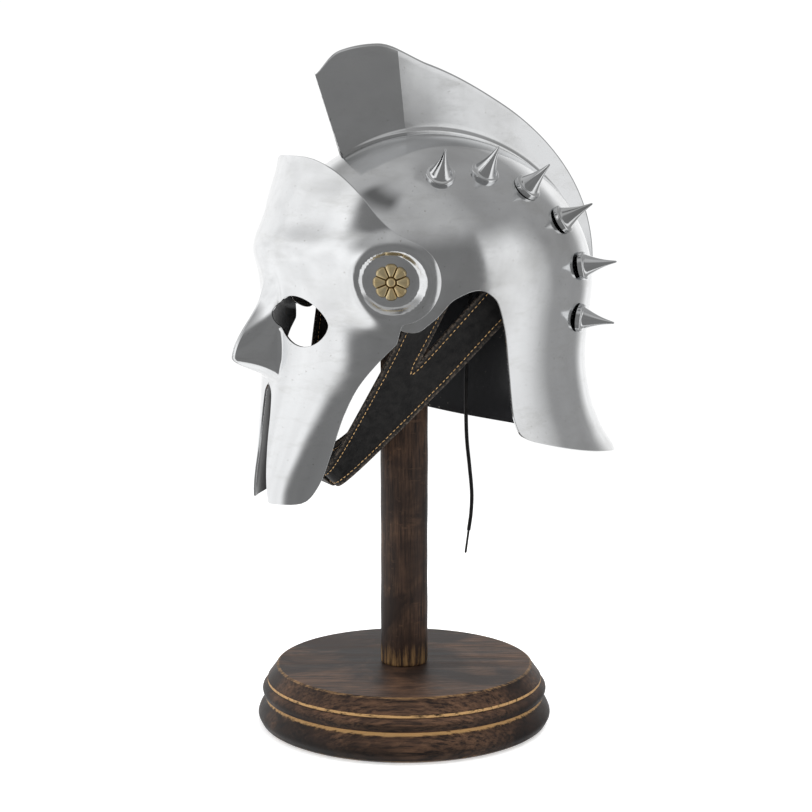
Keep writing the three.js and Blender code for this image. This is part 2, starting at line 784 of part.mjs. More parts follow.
// The chin's own directions: along the sleeve, across the straps, and through them.
const strapThrough = new THREE.Vector3(1, 0, 0).cross(strapPlane).normalize();

function chinBox(length, width, thickness) {
  const turn = new THREE.Matrix4().makeBasis(new THREE.Vector3(1, 0, 0), strapPlane, strapThrough);
  return new THREE.BoxGeometry(length, width, thickness).applyMatrix4(turn);
}

function makeChinSleeve(stack) {
  const room = { width: chinStrapWidth + 2, thickness: stack + 2 * sleeveGap };
  const outer = chinBox(
    sleeveLength,
    room.width + 2 * sleeveWall,
    room.thickness + 2 * sleeveWall,
  );
  const slot = chinBox(sleeveLength * 2, room.width, room.thickness);
  return geometryOf(solidOf(outer).subtract(solidOf(slot)));
}

function makeBase() {
  const top = baseTopDiameter / 2;
  const foot = baseDiameter / 2;
  const socket = spigotDiameter / 2 + seatGap;
  const floor = baseHeight - spigotLength - seatGap;
  const points = [
    [0, 0],
    [foot * 0.94, 0],
    [foot * 0.98, baseHeight * 0.07],
    [foot, baseHeight * 0.18],
    [foot * 0.985, baseHeight * 0.3],
    [foot * 0.945, baseHeight * 0.44],
    [foot * 0.945, baseHeight * 0.49],
    [foot * 0.965, baseHeight * 0.54],
    [foot * 0.97, baseHeight * 0.61],
    [foot * 0.955, baseHeight * 0.67],
    [foot * 0.935, baseHeight * 0.7],
    [foot * 0.935, baseHeight * 0.74],
    [top + 0.012 * foot, baseHeight * 0.96],
    [top, baseHeight],
    [socket, baseHeight],
    [socket, floor],
    [0, floor],
  ].map(([r, z]) => new THREE.Vector2(r, z));
  return new THREE.LatheGeometry(points, 28).rotateX(90 * degrees);
}

function makePost() {
  const points = [
    [0, -spigotLength],
    [spigotDiameter / 2, -spigotLength],
    [spigotDiameter / 2, seatGap],
    [postDiameter / 2, seatGap],
    [postDiameter / 2, postLength - seatGap],
    [0, postLength - seatGap],
  ].map(([r, z]) => new THREE.Vector2(r, z));
  return new THREE.LatheGeometry(points, 20).rotateX(90 * degrees);
}

// Rest: a turned knob on the post, domed to go under the liner's curve.
function restProfile() {
  const points = [[0, 0], [restNeckDiameter / 2, 0], [restDiameter / 2, restHeight * 0.5]];
  const steps = 6;
  for (let k = 1; k < steps; k += 1) {
    const turn = (k / steps) * 90 * degrees;
    points.push([
      (restDiameter / 2) * Math.cos(turn),
      restHeight * (0.5 + 0.5 * Math.sin(turn)),
    ]);
  }
  return [...points, [0, restHeight]];
}

function makeRest() {
  const profile = restProfile().map(([r, z]) => new THREE.Vector2(r, z));
  return new THREE.LatheGeometry(profile, 20).rotateX(90 * degrees);
}

// Lace: its route hangs from the liner, in the skull's own frame.
const laceRoute = [
  [0, 36, 88.8],
  [0, 36.5, 79],
  [0.5, 37, 60],
  [1, 37, 36],
  [1, 36, 10],
  [0.5, 34.5, -20],
  [0, 33, -52],
  [0, 32.5, -84],
  [0.5, 33, -108],
  [1, 35, -128],
  [1.5, 36.5, -146],
  [1.5, 36, -160],
  [1, 34.5, -172],
].map(([x, y, z]) => new THREE.Vector3(x, y, z));

function roundSection(diameter) {
  const shape = new THREE.Shape();
  const sides = 6;
  for (let k = 0; k < sides; k += 1) {
    const turn = (k / sides) * 2 * Math.PI;
    const x = (diameter / 2) * Math.cos(turn);
    const y = (diameter / 2) * Math.sin(turn);
    if (k === 0) shape.moveTo(x, y);
    else shape.lineTo(x, y);
  }
  return shape;
}

function tubeAlong(curve, diameter, steps) {
  return new THREE.ExtrudeGeometry(roundSection(diameter), {
    steps,
    extrudePath: curve,
    bevelEnabled: false,
  });
}

function makeLace() {
  return tubeAlong(new THREE.CatmullRomCurve3(laceRoute), laceDiameter, 26);
}

function makeLaceTip() {
  const end = laceRoute[laceRoute.length - 1];
  const way = end.clone().sub(laceRoute[laceRoute.length - 2]).normalize();
  const start = end.clone().addScaledVector(way, seatGap);
  const tip = start.clone().addScaledVector(way, laceTipLength);
  return tubeAlong(new THREE.LineCurve3(start, tip), laceTipDiameter, 2);
}

// Tail: the right strap's free end, folded back beside the post.
function makeStrapTail(stack) {
  const start = new THREE.Vector3(-sleeveLength / 2 - 1, -chinForward, -chinDrop);
  start.addScaledVector(strapThrough, -stack / 2 - sleeveWall - 1.5);
  const way = new THREE.Vector3(-0.3, 0.86, 0.42).normalize();
  const across = new THREE.Vector3(0.1, -0.4, 0.91);
  across.addScaledVector(way, -across.dot(way)).normalize();
  const sag = new THREE.Vector3(0, 0, -3);
  const rows = Array.from({ length: 7 }, (_, i) => {
    const along = i / 6;
    const half = (chinStrapWidth / 2) * (along > 0.9 ? 0.6 : 0.92);
    const middle = start.clone().addScaledVector(way, along * tailLength);
    middle.addScaledVector(sag, Math.sin(along * Math.PI));
    return [-1, 0, 1].map((s) => middle.clone().addScaledVector(across, s * half));
  });
  const out = way.clone().cross(across).normalize();
  const face = (push) =>
    rows.map((row) => row.map((p) => p.clone().addScaledVector(out, push)));
  return wallBetween(face(strapThickness / 2), face(-strapThickness / 2));
}

const steel = () => new THREE.MeshStandardMaterial({ color: 0xc4c8cb, roughness: 0.16, metalness: 1 });
const brass = () => new THREE.MeshStandardMaterial({ color: 0xbf9a4e, roughness: 0.35, metalness: 1 });
const leather = () => new THREE.MeshStandardMaterial({ color: 0x1b1c1e, roughness: 0.6, metalness: 0 });
const wood = () => new THREE.MeshStandardMaterial({ color: 0x3b2519, roughness: 0.55, metalness: 0 });

function node(name, geometry, material) {
  const mesh = new THREE.Mesh(geometry, material);
  mesh.name = name;
  return mesh;
}

function seated(mesh, { seat, out }) {
  mesh.position.copy(seat);
  mesh.quaternion.setFromUnitVectors(new THREE.Vector3(0, 0, 1), out);
  return mesh;
}

function makeHelmet() {
  const helmet = new THREE.Group();
  const skull = makeSkull();
  const seats = studSeats(skull);
  helmet.add(node("skull", skull, steel()));
  const guard = makeFaceGuard();
  helmet.add(node("face_guard", guard, steel()));
  helmet.add(node("crest", makeCrest(), steel()));
  helmet.add(node("liner", makeLiner(), leather()));
  for (const [side, name] of [[1, "left"], [-1, "right"]]) {
    const place = rosetteSeat(side);
    place.seat = raisedOn(guard, place.seat, place.out, rosetteRadius);
    helmet.add(seated(node(`rosette_${name}`, makeRosette(), brass()), place));
    seats.forEach(({ seat, out }, k) => {
      const own = {
        seat: seat.clone().setX(side * seat.x),
        out: out.clone().setX(side * out.x),
      };
      helmet.add(seated(node(`stud_${name}_${k + 1}`, makeStud(), steel()), own));
    });
  }
  const layer = (strapThickness + sleeveGap) / 2;
  const lift = strapThrough.clone().multiplyScalar(layer);
  const left = node("chin_strap_left", makeChinStrap(0), leather());
  left.position.copy(lift);
  const rightSide = makeChinStrap(0).scale(-1, 1, 1);
  rightSide.index.array.reverse();
  const right = node("chin_strap_right", rightSide, leather());
  right.position.copy(lift).negate();
  const stack = 2 * strapThickness + sleeveGap;
  const sleeve = node("chin_sleeve", makeChinSleeve(stack), leather());
  sleeve.position.set(0, -chinForward, -chinDrop);
  helmet.add(left, right, sleeve);
  helmet.add(node("strap_tail", makeStrapTail(stack), leather()));
  helmet.add(node("lace", makeLace(), leather()));
  helmet.add(node("lace_tip", makeLaceTip(), leather()));
  return helmet;
}

// Rise of the liner's underside over a place in the skull's plan.
function linerUnderside(x, y) {
  const inset = steelWall + linerGap + linerThickness;
  const top = domeHeight - inset;
  let reach = skullFront;
  for (let n = 0; n < 5; n += 1) {
    const ahead = -y / reach / Math.max(Math.hypot(x / skullHalfWidth, y / reach), 1e-6);
    reach = (skullFront + skullBack) / 2 - ((skullBack - skullFront) / 2) * ahead;
  }
  const share = Math.hypot(x / (skullHalfWidth - inset), y / (reach - inset));
  return top * Math.sqrt(1 - share * share);
}

// How far the skull's widest level lies above the rest's foot once the liner sits on the knob.
function helmetLift() {
  let lift = -Infinity;
  for (const [radius, height] of restProfile()) {
    for (let turn = 0; turn < 360; turn += 15) {
      const x = radius * Math.sin(turn * degrees);
      const y = radius * Math.cos(turn * degrees) - skullSetback;
      lift = Math.max(lift, height + seatGap - linerUnderside(x, y));
    }
  }
  return lift;
}

function makeStand() {
  const stand = new THREE.Group();
  stand.add(node("stand_base", makeBase(), wood()));
  const post = node("stand_post", makePost(), wood());
  post.position.z = baseHeight;
  const rest = node("stand_rest", makeRest(), wood());
  rest.position.z = baseHeight + postLength;
  stand.add(post, rest);
  return stand;
}

const object = new THREE.Group();
const helmet = makeHelmet();
helmet.position.set(0, skullSetback, baseHeight + postLength + helmetLift());
object.add(makeStand(), helmet);

export default object;
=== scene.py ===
import math
import bmesh
import bpy
import numpy as np
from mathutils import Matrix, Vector


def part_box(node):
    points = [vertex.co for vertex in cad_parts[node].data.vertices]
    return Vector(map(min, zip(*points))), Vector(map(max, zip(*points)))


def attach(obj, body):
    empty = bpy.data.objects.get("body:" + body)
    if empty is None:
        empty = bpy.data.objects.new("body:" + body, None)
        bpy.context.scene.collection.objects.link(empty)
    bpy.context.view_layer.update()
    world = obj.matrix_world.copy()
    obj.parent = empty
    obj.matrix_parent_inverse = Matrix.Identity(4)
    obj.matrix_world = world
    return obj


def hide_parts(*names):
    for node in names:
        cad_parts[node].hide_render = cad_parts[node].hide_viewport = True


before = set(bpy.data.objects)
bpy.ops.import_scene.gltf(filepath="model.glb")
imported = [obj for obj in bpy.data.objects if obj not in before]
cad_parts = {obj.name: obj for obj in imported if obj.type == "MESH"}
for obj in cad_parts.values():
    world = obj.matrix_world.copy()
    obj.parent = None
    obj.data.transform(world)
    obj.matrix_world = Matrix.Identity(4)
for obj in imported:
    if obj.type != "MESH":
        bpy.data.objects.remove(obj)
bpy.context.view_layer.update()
mm = 0.001
print("frame:", len(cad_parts), "nodes")

# The helmet's own frame: it faces -Y, its wearer's left is +X, and its skull's widest level is 0.
helmet = {"setback": 14.0, "skull top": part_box("skull")[1].z / mm, "dome height": 100.0}
helmetPlace = np.array([0.0, helmet["setback"], helmet["skull top"] - helmet["dome height"]])


def bell(distance, width):  # 1 at no distance, falling off smoothly
    return np.exp(-((distance / width) ** 2))


def smoothStep(value, start, end):  # 0 before start, 1 after end, level at both
    t = np.clip((value - start) / (end - start), 0, 1)
    return t * t * (3 - 2 * t)


def unit(vectors):
    return vectors / np.maximum(np.linalg.norm(vectors, axis=-1, keepdims=True), 1e-9)


# Monotone cubic curve through rows of (place, value). It is level at both ends, and its slope at
# an inner row is the harmonic mean of the slopes on its two sides, or 0 where they differ in sign.
def curveThrough(rows):
    place, value = np.array(rows, float).T
    step = np.diff(place)
    rise = np.diff(value) / step
    slope = np.zeros(len(place))
    product = rise[:-1] * rise[1:]
    total = np.where(product > 0, rise[:-1] + rise[1:], 1)
    slope[1:-1] = np.where(product > 0, 2 * product / total, 0)

    def curve(at):
        at = np.clip(at, place[0], place[-1])
        i = np.clip(np.searchsorted(place, at) - 1, 0, len(place) - 2)
        t = (at - place[i]) / step[i]
        ease = t * t * (3 - 2 * t)
        lift = t * (1 - t) ** 2 * slope[i] - t * t * (1 - t) * slope[i + 1]
        return value[i] + (value[i + 1] - value[i]) * ease + lift * step[i]

    return curve


# Centripetal Catmull-Rom curve through points, given back as evenly spaced points on it. Each
# span is a cubic whose end slopes come from the neighbouring points, at knots spaced by the
# square root of their distance.
def splineThrough(points, count, closed=False):
    points = np.array(points, float)
    if closed:
        points = np.concatenate([points[-1:], points, points[:2]])
    else:
        first = 2 * points[0] - points[1]
        last = 2 * points[-1] - points[-2]
        points = np.concatenate([[first], points, [last]])
    fine = np.linspace(0, 1, 60, endpoint=False)[None, :, None]
    p0, p1, p2, p3 = (points[i: len(points) - 3 + i, None, :] for i in range(4))
    gap = [np.maximum(np.linalg.norm(b - a, axis=-1, keepdims=True) ** 0.5, 1e-4)
           for a, b in ((p0, p1), (p1, p2), (p2, p3))]
    leave = ((p1 - p0) / gap[0] - (p2 - p0) / (gap[0] + gap[1]) + (p2 - p1) / gap[1]) * gap[1]
    arrive = ((p2 - p1) / gap[1] - (p3 - p1) / (gap[1] + gap[2]) + (p3 - p2) / gap[2]) * gap[1]
    cubic = 2 * p1 - 2 * p2 + leave + arrive
    square = -3 * p1 + 3 * p2 - 2 * leave - arrive
    spans = ((cubic * fine + square) * fine + leave) * fine + p1
    line = np.concatenate([spans.reshape(-1, points.shape[1]), points[-2:-1]])
    return evenly(line, count)


def evenly(line, count):  # points at even distances along a fine line
    length = np.concatenate([[0], np.cumsum(np.linalg.norm(np.diff(line, axis=0), axis=1))])
    wanted = np.linspace(0, length[-1], count)
    return np.stack([np.interp(wanted, length, line[:, k]) for k in range(line.shape[1])], 1)


# Camera at the photograph's viewing angle
camera = {
    "azimuth": 65.0,  # degrees from the helmet's front, towards its wearer's left
    "elevation": 8.8,
    "distance": 1366.0,
    "lens": 90.0,
    "aim": (0.5, 1.1, 217.9),
}


def makeCamera():
    turn = math.radians(camera["azimuth"])
    lift = math.radians(camera["elevation"])
    back = Vector((math.sin(turn) * math.cos(lift), -math.cos(turn) * math.cos(lift), math.sin(lift)))
    seen = bpy.data.objects.new("photo_camera", bpy.data.cameras.new("photo_camera"))
    seen.data.lens = camera["lens"]
    seen.location = (Vector(camera["aim"]) + back * camera["distance"]) * mm
    seen.rotation_euler = back.to_track_quat("Z", "Y").to_euler()
    bpy.context.scene.collection.objects.link(seen)
    bpy.context.scene.camera = seen


makeCamera()
print("camera: done")


# Mesh from points in millimetres and arrays of faces with three or four corners each.
def makePiece(name, points, faces, finishes, faceFinish=None, attributes=None, normals=None):
    faces = [np.asarray(f, np.int64) for f in faces if len(f)]
    corners = np.concatenate([f.ravel() for f in faces]).astype(np.int32)
    sizes = np.concatenate([np.full(len(f), f.shape[1]) for f in faces])
    mesh = bpy.data.meshes.new(name)
    mesh.vertices.add(len(points))
    mesh.vertices.foreach_set("co", (np.asarray(points, float) * mm).astype(np.float32).ravel())
    mesh.loops.add(len(corners))
    mesh.loops.foreach_set("vertex_index", corners)
    mesh.polygons.add(len(sizes))
    mesh.polygons.foreach_set("loop_start", np.concatenate([[0], np.cumsum(sizes)[:-1]]).astype(np.int32))
    if faceFinish is not None:
        mesh.polygons.foreach_set("material_index", np.asarray(faceFinish, np.int32))
    for label, values in (attributes or {}).items():
        layer = mesh.attributes.new(label, "FLOAT", "POINT")
        layer.data.foreach_set("value", np.asarray(values, np.float32).ravel())
    mesh.update(calc_edges=True)
    mesh.shade_smooth()
    if normals is not None:
        mesh.normals_split_custom_set_from_vertices(normals.tolist())
    for finish in finishes:
        mesh.materials.append(finish)
    piece = bpy.data.objects.new(name, mesh)
    bpy.context.scene.collection.objects.link(piece)
    return piece


# Quads of a grid of points with this many rows and columns, numbered row by row.
def gridFaces(rows, columns, ringRows=False, ringColumns=False, start=0):
    i, j = np.meshgrid(np.arange(rows if ringRows else rows - 1),
                       np.arange(columns if ringColumns else columns - 1), indexing="ij")
    down, right = (i + 1) % rows, (j + 1) % columns
    quads = np.stack([i * columns + j, down * columns + j, down * columns + right, i * columns + right], -1)
    return quads.reshape(-1, 4) + start


# Normals of a surface's points: the sum of their faces' area vectors.
def surfaceNormals(points, faces):
    total = np.zeros_like(points)
    for face in faces:
        area = np.cross(points[face[:, 2]] - points[face[:, 0]], points[face[:, -1]] - points[face[:, 1]])
        if face.shape[1] == 3:
            area = np.cross(points[face[:, 1]] - points[face[:, 0]], points[face[:, 2]] - points[face[:, 0]])
        for corner in face.T:
            np.add.at(total, corner, area)
    return unit(total)


# Wall of a sheet: the sheet itself, its copy one thickness behind, and a rim round every edge.
# The rim's section turns through half a circle from the front face to the back one, stretched
# by the wall's flat part, so both corners are rounded.
def wallOf(points, normals, faces, thickness, rounding=0.35, steps=3):
    count = len(points)
    edges = np.concatenate([np.stack([f.ravel(), np.roll(f, -1, 1).ravel()], 1) for f in faces if len(f)])
    forward, backward = edges[:, 0] * count + edges[:, 1], edges[:, 1] * count + edges[:, 0]
    start, end = edges[~np.isin(forward, backward)].T
    after, before = np.arange(count), np.arange(count)
    after[start], before[end] = end, start
    rim = np.unique(start)
    tangent = unit(points[after[rim]] - points[before[rim]])
    away = unit(np.cross(tangent, normals[rim]))
    bend = np.linspace(90, 0, steps + 1)[1:]
    bend = np.radians(np.concatenate([bend, -bend[::-1]]))
    depth = rounding - rounding * np.sin(bend)
    depth[steps:] += thickness - 2 * rounding
    number = np.zeros(count, int)
    number[rim] = np.arange(len(rim))
    rows = [points[rim] + away * rounding * math.cos(a) - normals[rim] * d for a, d in zip(bend, depth)]
    rowNormals = [away * math.cos(a) + normals[rim] * math.sin(a) for a in bend]
    between = [2 * count + k * len(rim) + number for k in range(len(rows) - 1)]
    line = [np.arange(count)] + between + [np.arange(count) + count]
    rows, rowNormals = rows[:-1], rowNormals[:-1]
    sides = [np.stack([upper[end], upper[start], lower[start], lower[end]], 1)
             for upper, lower in zip(line, line[1:])]
    back = [f[:, ::-1] + count for f in faces if len(f)]
    front = [f for f in faces if len(f)]
    everyPoint = np.concatenate([points, points - normals * thickness] + rows)
    everyNormal = np.concatenate([normals, -normals] + rowNormals)
    counts = [sum(map(len, front)), sum(map(len, back)), len(start) * len(sides)]
    finish = np.repeat([0, 1, 0], counts)
    source = np.concatenate([np.arange(count), np.arange(count)] + [rim] * len(rows))
    return everyPoint, everyNormal, front + back + sides, finish, source


def roundEdges(piece, width, segments=2, angle=40.0):
    edge = piece.modifiers.new("rounded edges", "BEVEL")
    edge.width = width * mm
    edge.segments = segments
    edge.limit_method = "ANGLE"
    edge.angle_limit = math.radians(angle)
    edge.use_clamp_overlap = False
    edge.harden_normals = True
    edge.miter_outer = "MITER_ARC"


def settle(piece, slot, *nodes):  # it rides with the object and stands for its CAD nodes
    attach(piece, "root")
    if nodes:
        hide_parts(*nodes)
    return piece


# Materials. Each is made of nodes on Object coordinates, so its pattern stays on the piece.
def startFinish(name, **settings):
    material = bpy.data.materials.new(name)
    material.use_nodes = True
    tree = material.node_tree
    shader = tree.nodes["Principled BSDF"]
    for socket, value in settings.items():
        shader.inputs[socket.replace("_", " ")].default_value = value
    place = tree.nodes.new("ShaderNodeTexCoord").outputs["Object"]
    return material, tree, shader, place


def stretched(tree, place, scale, turn=(0, 0, 0)):
    node = tree.nodes.new("ShaderNodeMapping")
    node.inputs["Scale"].default_value = scale
    node.inputs["Rotation"].default_value = [math.radians(a) for a in turn]
    tree.links.new(place, node.inputs["Vector"])
    return node.outputs["Vector"]


def noise(tree, place, scale, detail=4.0, roughness=0.55, distortion=0.0):
    node = tree.nodes.new("ShaderNodeTexNoise")
    node.inputs["Scale"].default_value = scale
    node.inputs["Detail"].default_value = detail
    node.inputs["Roughness"].default_value = roughness
    node.inputs["Distortion"].default_value = distortion
    tree.links.new(place, node.inputs["Vector"])
    return node.outputs["Fac"]


def cells(tree, place, scale, feature="F1", output="Distance"):
    node = tree.nodes.new("ShaderNodeTexVoronoi")
    node.feature = feature
    node.inputs["Scale"].default_value = scale
    tree.links.new(place, node.inputs["Vector"])
    return node.outputs[output]


def ramp(tree, factor, stops):  # stops are (place, grey or colour)
    node = tree.nodes.new("ShaderNodeValToRGB")
    band = node.color_ramp
    while len(band.elements) < len(stops):
        band.elements.new(0.5)
    for element, (at, value) in zip(band.elements, stops):
        element.position = at
        element.color = (value, value, value, 1) if np.isscalar(value) else (*value, 1)
    tree.links.new(factor, node.inputs["Fac"])
    return node.outputs["Color"]


def mixColour(tree, factor, first, second, blend="MIX"):
    node = tree.nodes.new("ShaderNodeMix")
    node.data_type = "RGBA"
    node.blend_type = blend
    for socket, value in ((node.inputs[0], factor), (node.inputs[6], first), (node.inputs[7], second)):
        if isinstance(value, bpy.types.NodeSocket):
            tree.links.new(value, socket)
        else:
            socket.default_value = value if np.isscalar(value) else (*value, 1)
    return node.outputs[2]


def combine(tree, operation, first, second):
    node = tree.nodes.new("ShaderNodeMath")
    node.operation = operation
    for socket, value in ((node.inputs[0], first), (node.inputs[1], second)):
        if isinstance(value, bpy.types.NodeSocket):
            tree.links.new(value, socket)
        else:
            socket.default_value = value
    return node.outputs[0]


def attribute(tree, name):
    node = tree.nodes.new("ShaderNodeAttribute")
    node.attribute_name = name
    return node.outputs["Fac"]


def bump(tree, height, distance, strength=1.0, under=None):
    node = tree.nodes.new("ShaderNodeBump")
    node.inputs["Distance"].default_value = distance * mm
    node.inputs["Strength"].default_value = strength
    tree.links.new(height, node.inputs["Height"])
    if under is not None:
        tree.links.new(under, node.inputs["Normal"])
    return node.outputs["Normal"]


steelLook = {
    "clean": (0.80, 0.81, 0.82),
    "stained": (0.52, 0.52, 0.51),
    "waves per metre": 11.0,
    "wave height": 0.55,  # mm
    "smear height": 0.012,
}


def makeSteel():
    material, tree, shader, place = startFinish("polished_steel", Metallic=1.0)
    cloud = noise(tree, place, 9.0, 5.0, 0.6, 0.4)
    smear = noise(tree, stretched(tree, place, (1, 1, 3.2), (25, 0, 40)), 34.0, 6.0, 0.65)
    speck = noise(tree, place, 420.0, 3.0, 0.6)
    stainShare = ramp(tree, cloud, [(0.5, 0), (0.72, 0.55)])
    stain = mixColour(tree, stainShare, steelLook["clean"], steelLook["stained"])
    worn = mixColour(tree, ramp(tree, smear, [(0.52, 0), (0.74, 0.4)]), stain, (0.62, 0.62, 0.6))
    pitted = mixColour(tree, ramp(tree, speck, [(0.66, 0), (0.8, 0.6)]), worn, (0.33, 0.31, 0.28))
    tree.links.new(pitted, shader.inputs["Base Color"])
    rough = combine(tree, "ADD", ramp(tree, cloud, [(0.35, 0.07), (0.75, 0.17)]),
                    ramp(tree, smear, [(0.45, 0.0), (0.8, 0.12)]))
    tree.links.new(rough, shader.inputs["Roughness"])
    wave = bump(tree, noise(tree, place, steelLook["waves per metre"], 1.5, 0.4), steelLook["wave height"])
    fine = bump(tree, smear, steelLook["smear height"], 1.0, wave)
    tree.links.new(fine, shader.inputs["Normal"])
    return material


def makeInnerPaint():
    material, tree, shader, place = startFinish("black_inside", Roughness=0.28)
    dust = cells(tree, place, 260.0)
    patch = noise(tree, place, 24.0, 3.0)
    specks = ramp(tree, dust, [(0.06, 1), (0.13, 0)])
    shown = combine(tree, "MULTIPLY", specks, ramp(tree, patch, [(0.5, 0), (0.66, 1)]))
    colour = mixColour(tree, shown, (0.015, 0.016, 0.018), (0.32, 0.29, 0.25))
    tree.links.new(colour, shader.inputs["Base Color"])
    tree.links.new(bump(tree, noise(tree, place, 190.0, 3.0), 0.12), shader.inputs["Normal"])
    return material


def makeBrass():
    material, tree, shader, place = startFinish("aged_brass", Metallic=1.0)
    tone = noise(tree, place, 160.0, 4.0)
    gold = mixColour(tree, ramp(tree, tone, [(0.35, 0), (0.7, 1)]), (1.0, 0.84, 0.52), (0.92, 0.71, 0.38))
    aged = mixColour(tree, attribute(tree, "groove"), gold, (0.16, 0.10, 0.04))
    tree.links.new(aged, shader.inputs["Base Color"])
    tree.links.new(ramp(tree, tone, [(0.3, 0.34), (0.75, 0.5)]), shader.inputs["Roughness"])
    tree.links.new(bump(tree, tone, 0.05), shader.inputs["Normal"])
    return material


def makeLeather():
    material, tree, shader, place = startFinish("black_leather", Specular_IOR_Level=0.35)
    grain = cells(tree, place, 900.0)
    crease = noise(tree, place, 210.0, 5.0, 0.6, 0.3)
    light = ramp(tree, crease, [(0.3, 0), (0.75, 1)])
    tone = mixColour(tree, light, (0.004, 0.004, 0.0045), (0.020, 0.019, 0.018))
    fray = ramp(tree, noise(tree, place, 700.0, 4.0), [(0.42, 0), (0.62, 1)])
    frayed = combine(tree, "MULTIPLY", attribute(tree, "rim"), fray)
    tree.links.new(mixColour(tree, frayed, tone, (0.13, 0.10, 0.075)), shader.inputs["Base Color"])
    tree.links.new(ramp(tree, crease, [(0.3, 0.42), (0.7, 0.62)]), shader.inputs["Roughness"])
    folds = bump(tree, crease, 0.22)
    tree.links.new(bump(tree, grain, 0.10, 0.8, folds), shader.inputs["Normal"])
    return material


def makeThread():
    material, tree, shader, place = startFinish("tan_thread", Roughness=0.8, Sheen_Weight=0.3)
    fibre = noise(tree, place, 1500.0, 3.0)
    colour = mixColour(tree, ramp(tree, fibre, [(0.3, 0), (0.7, 1)]), (0.58, 0.33, 0.12), (0.82, 0.52, 0.22))
    tree.links.new(colour, shader.inputs["Base Color"])
    tree.links.new(bump(tree, fibre, 0.06), shader.inputs["Normal"])
    return material


# Stained wood, brushed dark over brown. Its grain runs along X after the turn, or along Z for the
# post. The rubbed attribute bares light wood in thin lines, and the brush strokes bare brown.
woodLook = {
    "dark": (0.015, 0.0115, 0.0105),
    "stain": (0.050, 0.031, 0.024),
    "worn": (0.18, 0.098, 0.058),
    "bare": (0.52, 0.31, 0.13),
}


def makeWood(name, turn, scale, side):  # side scales the colour where the wood stands upright, a painted shade
    material, tree, shader, place = startFinish(name, Specular_IOR_Level=0.2)
    run = stretched(tree, stretched(tree, place, (1, 1, 1), turn), scale)
    streak = noise(tree, run, 120.0, 7.0, 0.7, 0.5)
    fibre = noise(tree, run, 520.0, 5.0, 0.75)
    patch = noise(tree, place, 17.0, 4.0, 0.6, 0.6)
    scratch = noise(tree, stretched(tree, place, (1, 0.12, 1), (0, 0, turn[2] + 50)), 260.0, 4.0, 0.6)
    base = mixColour(tree, ramp(tree, streak, [(0.36, 0), (0.66, 1)]), woodLook["dark"], woodLook["stain"])
    inPatch = ramp(tree, patch, [(0.44, 0), (0.66, 1)])
    stroke = combine(tree, "MULTIPLY", inPatch, ramp(tree, fibre, [(0.40, 0), (0.60, 1)]))
    brushed = mixColour(tree, stroke, base, woodLook["worn"])
    scrape = ramp(tree, scratch, [(0.60, 0), (0.66, 0.5)])
    thin = combine(tree, "MULTIPLY", scrape, ramp(tree, patch, [(0.4, 0), (0.6, 1)]))
    scratched = mixColour(tree, thin, brushed, woodLook["worn"])
    tear = ramp(tree, fibre, [(0.36, 0), (0.62, 1)])
    torn = combine(tree, "ADD", combine(tree, "MULTIPLY", tear, 1.3), 0.35)
    bared = ramp(tree, combine(tree, "MULTIPLY", attribute(tree, "rubbed"), torn), [(0.3, 0), (1.0, 1)])
    # Painted shade: the colour is multiplied down on upright faces and kept on upward ones, as if lit from
    # above; stained below carries this shade
    facing = tree.nodes.new("ShaderNodeSeparateXYZ")
    tree.links.new(tree.nodes.new("ShaderNodeTexCoord").outputs["Normal"], facing.inputs[0])
    paintedSideShade = ramp(tree, facing.outputs[2], [(0.1, side), (0.95, 1)])
    stained = mixColour(tree, 1.0, scratched, paintedSideShade, "MULTIPLY")
    tree.links.new(mixColour(tree, bared, stained, woodLook["bare"]), shader.inputs["Base Color"])
    tree.links.new(ramp(tree, streak, [(0.3, 0.42), (0.7, 0.58)]), shader.inputs["Roughness"])
    tree.links.new(bump(tree, combine(tree, "ADD", streak, fibre), 0.14), shader.inputs["Normal"])
    return material


polishedSteel = makeSteel()
innerPaint = makeInnerPaint()
agedBrass = makeBrass()
blackLeather = makeLeather()
tanThread = makeThread()
# The last number is the painted shade on upright faces: colour times this where the wood stands upright
baseWood = makeWood("dark_wood_base", (0, 0, -65), (0.06, 1, 1), 0.36)
postWood = makeWood("dark_wood_post", (0, 0, 0), (1, 1, 0.06), 0.8)
print("materials: done")


# Lace: a thin leather thong that hangs from the liner, with a thinner end.
lace = {
    "diameter": 2.6,
    "tip diameter": 1.6,
    "tip length": 16.0,
    "tip gap": 0.3,
    "route": [
        (0, 36, 88.8), (0, 36.5, 79), (0.5, 37, 60), (1, 37, 36), (1, 36, 10), (0.5, 34.5, -20),
        (0, 33, -52), (0, 32.5, -84), (0.5, 33, -108), (1, 35, -128), (1.5, 36.5, -146),
        (1.5, 36, -160), (1, 34.5, -172),
    ],
}


# Tube: a circle carried along a line, its plane square to the line, closed at both ends.
def tubeAlong(line, radius, around=16):
    tangent = unit(np.gradient(line, axis=0))
    across = unit(np.cross(tangent, [1.0, 0.0, 0.0]))
    through = np.cross(tangent, across)
    turn = np.linspace(0, 2 * np.pi, around, endpoint=False)
    ring = across[:, None] * np.cos(turn)[None, :, None] + through[:, None] * np.sin(turn)[None, :, None]
    reach = np.broadcast_to(np.asarray(radius, float), (len(line),))[:, None, None]
    points = np.concatenate([(line[:, None] + ring * reach).reshape(-1, 3), line[:1], line[-1:]])
    count, k = len(line) * around, np.arange(around)
    start = np.stack([np.full(around, count), k, (k + 1) % around], 1)
    end = np.stack([np.full(around, count + 1), count - around + (k + 1) % around, count - around + k], 1)
    return points, [gridFaces(len(line), around, ringColumns=True), start, end]


def closeUp(piece):  # faces of a closed body turned to point outwards
    body = bmesh.new()
    body.from_mesh(piece.data)
    bmesh.ops.remove_doubles(body, verts=body.verts, dist=1e-6)
    bmesh.ops.recalc_face_normals(body, faces=body.faces)
    body.to_mesh(piece.data)
    body.free()
    return piece


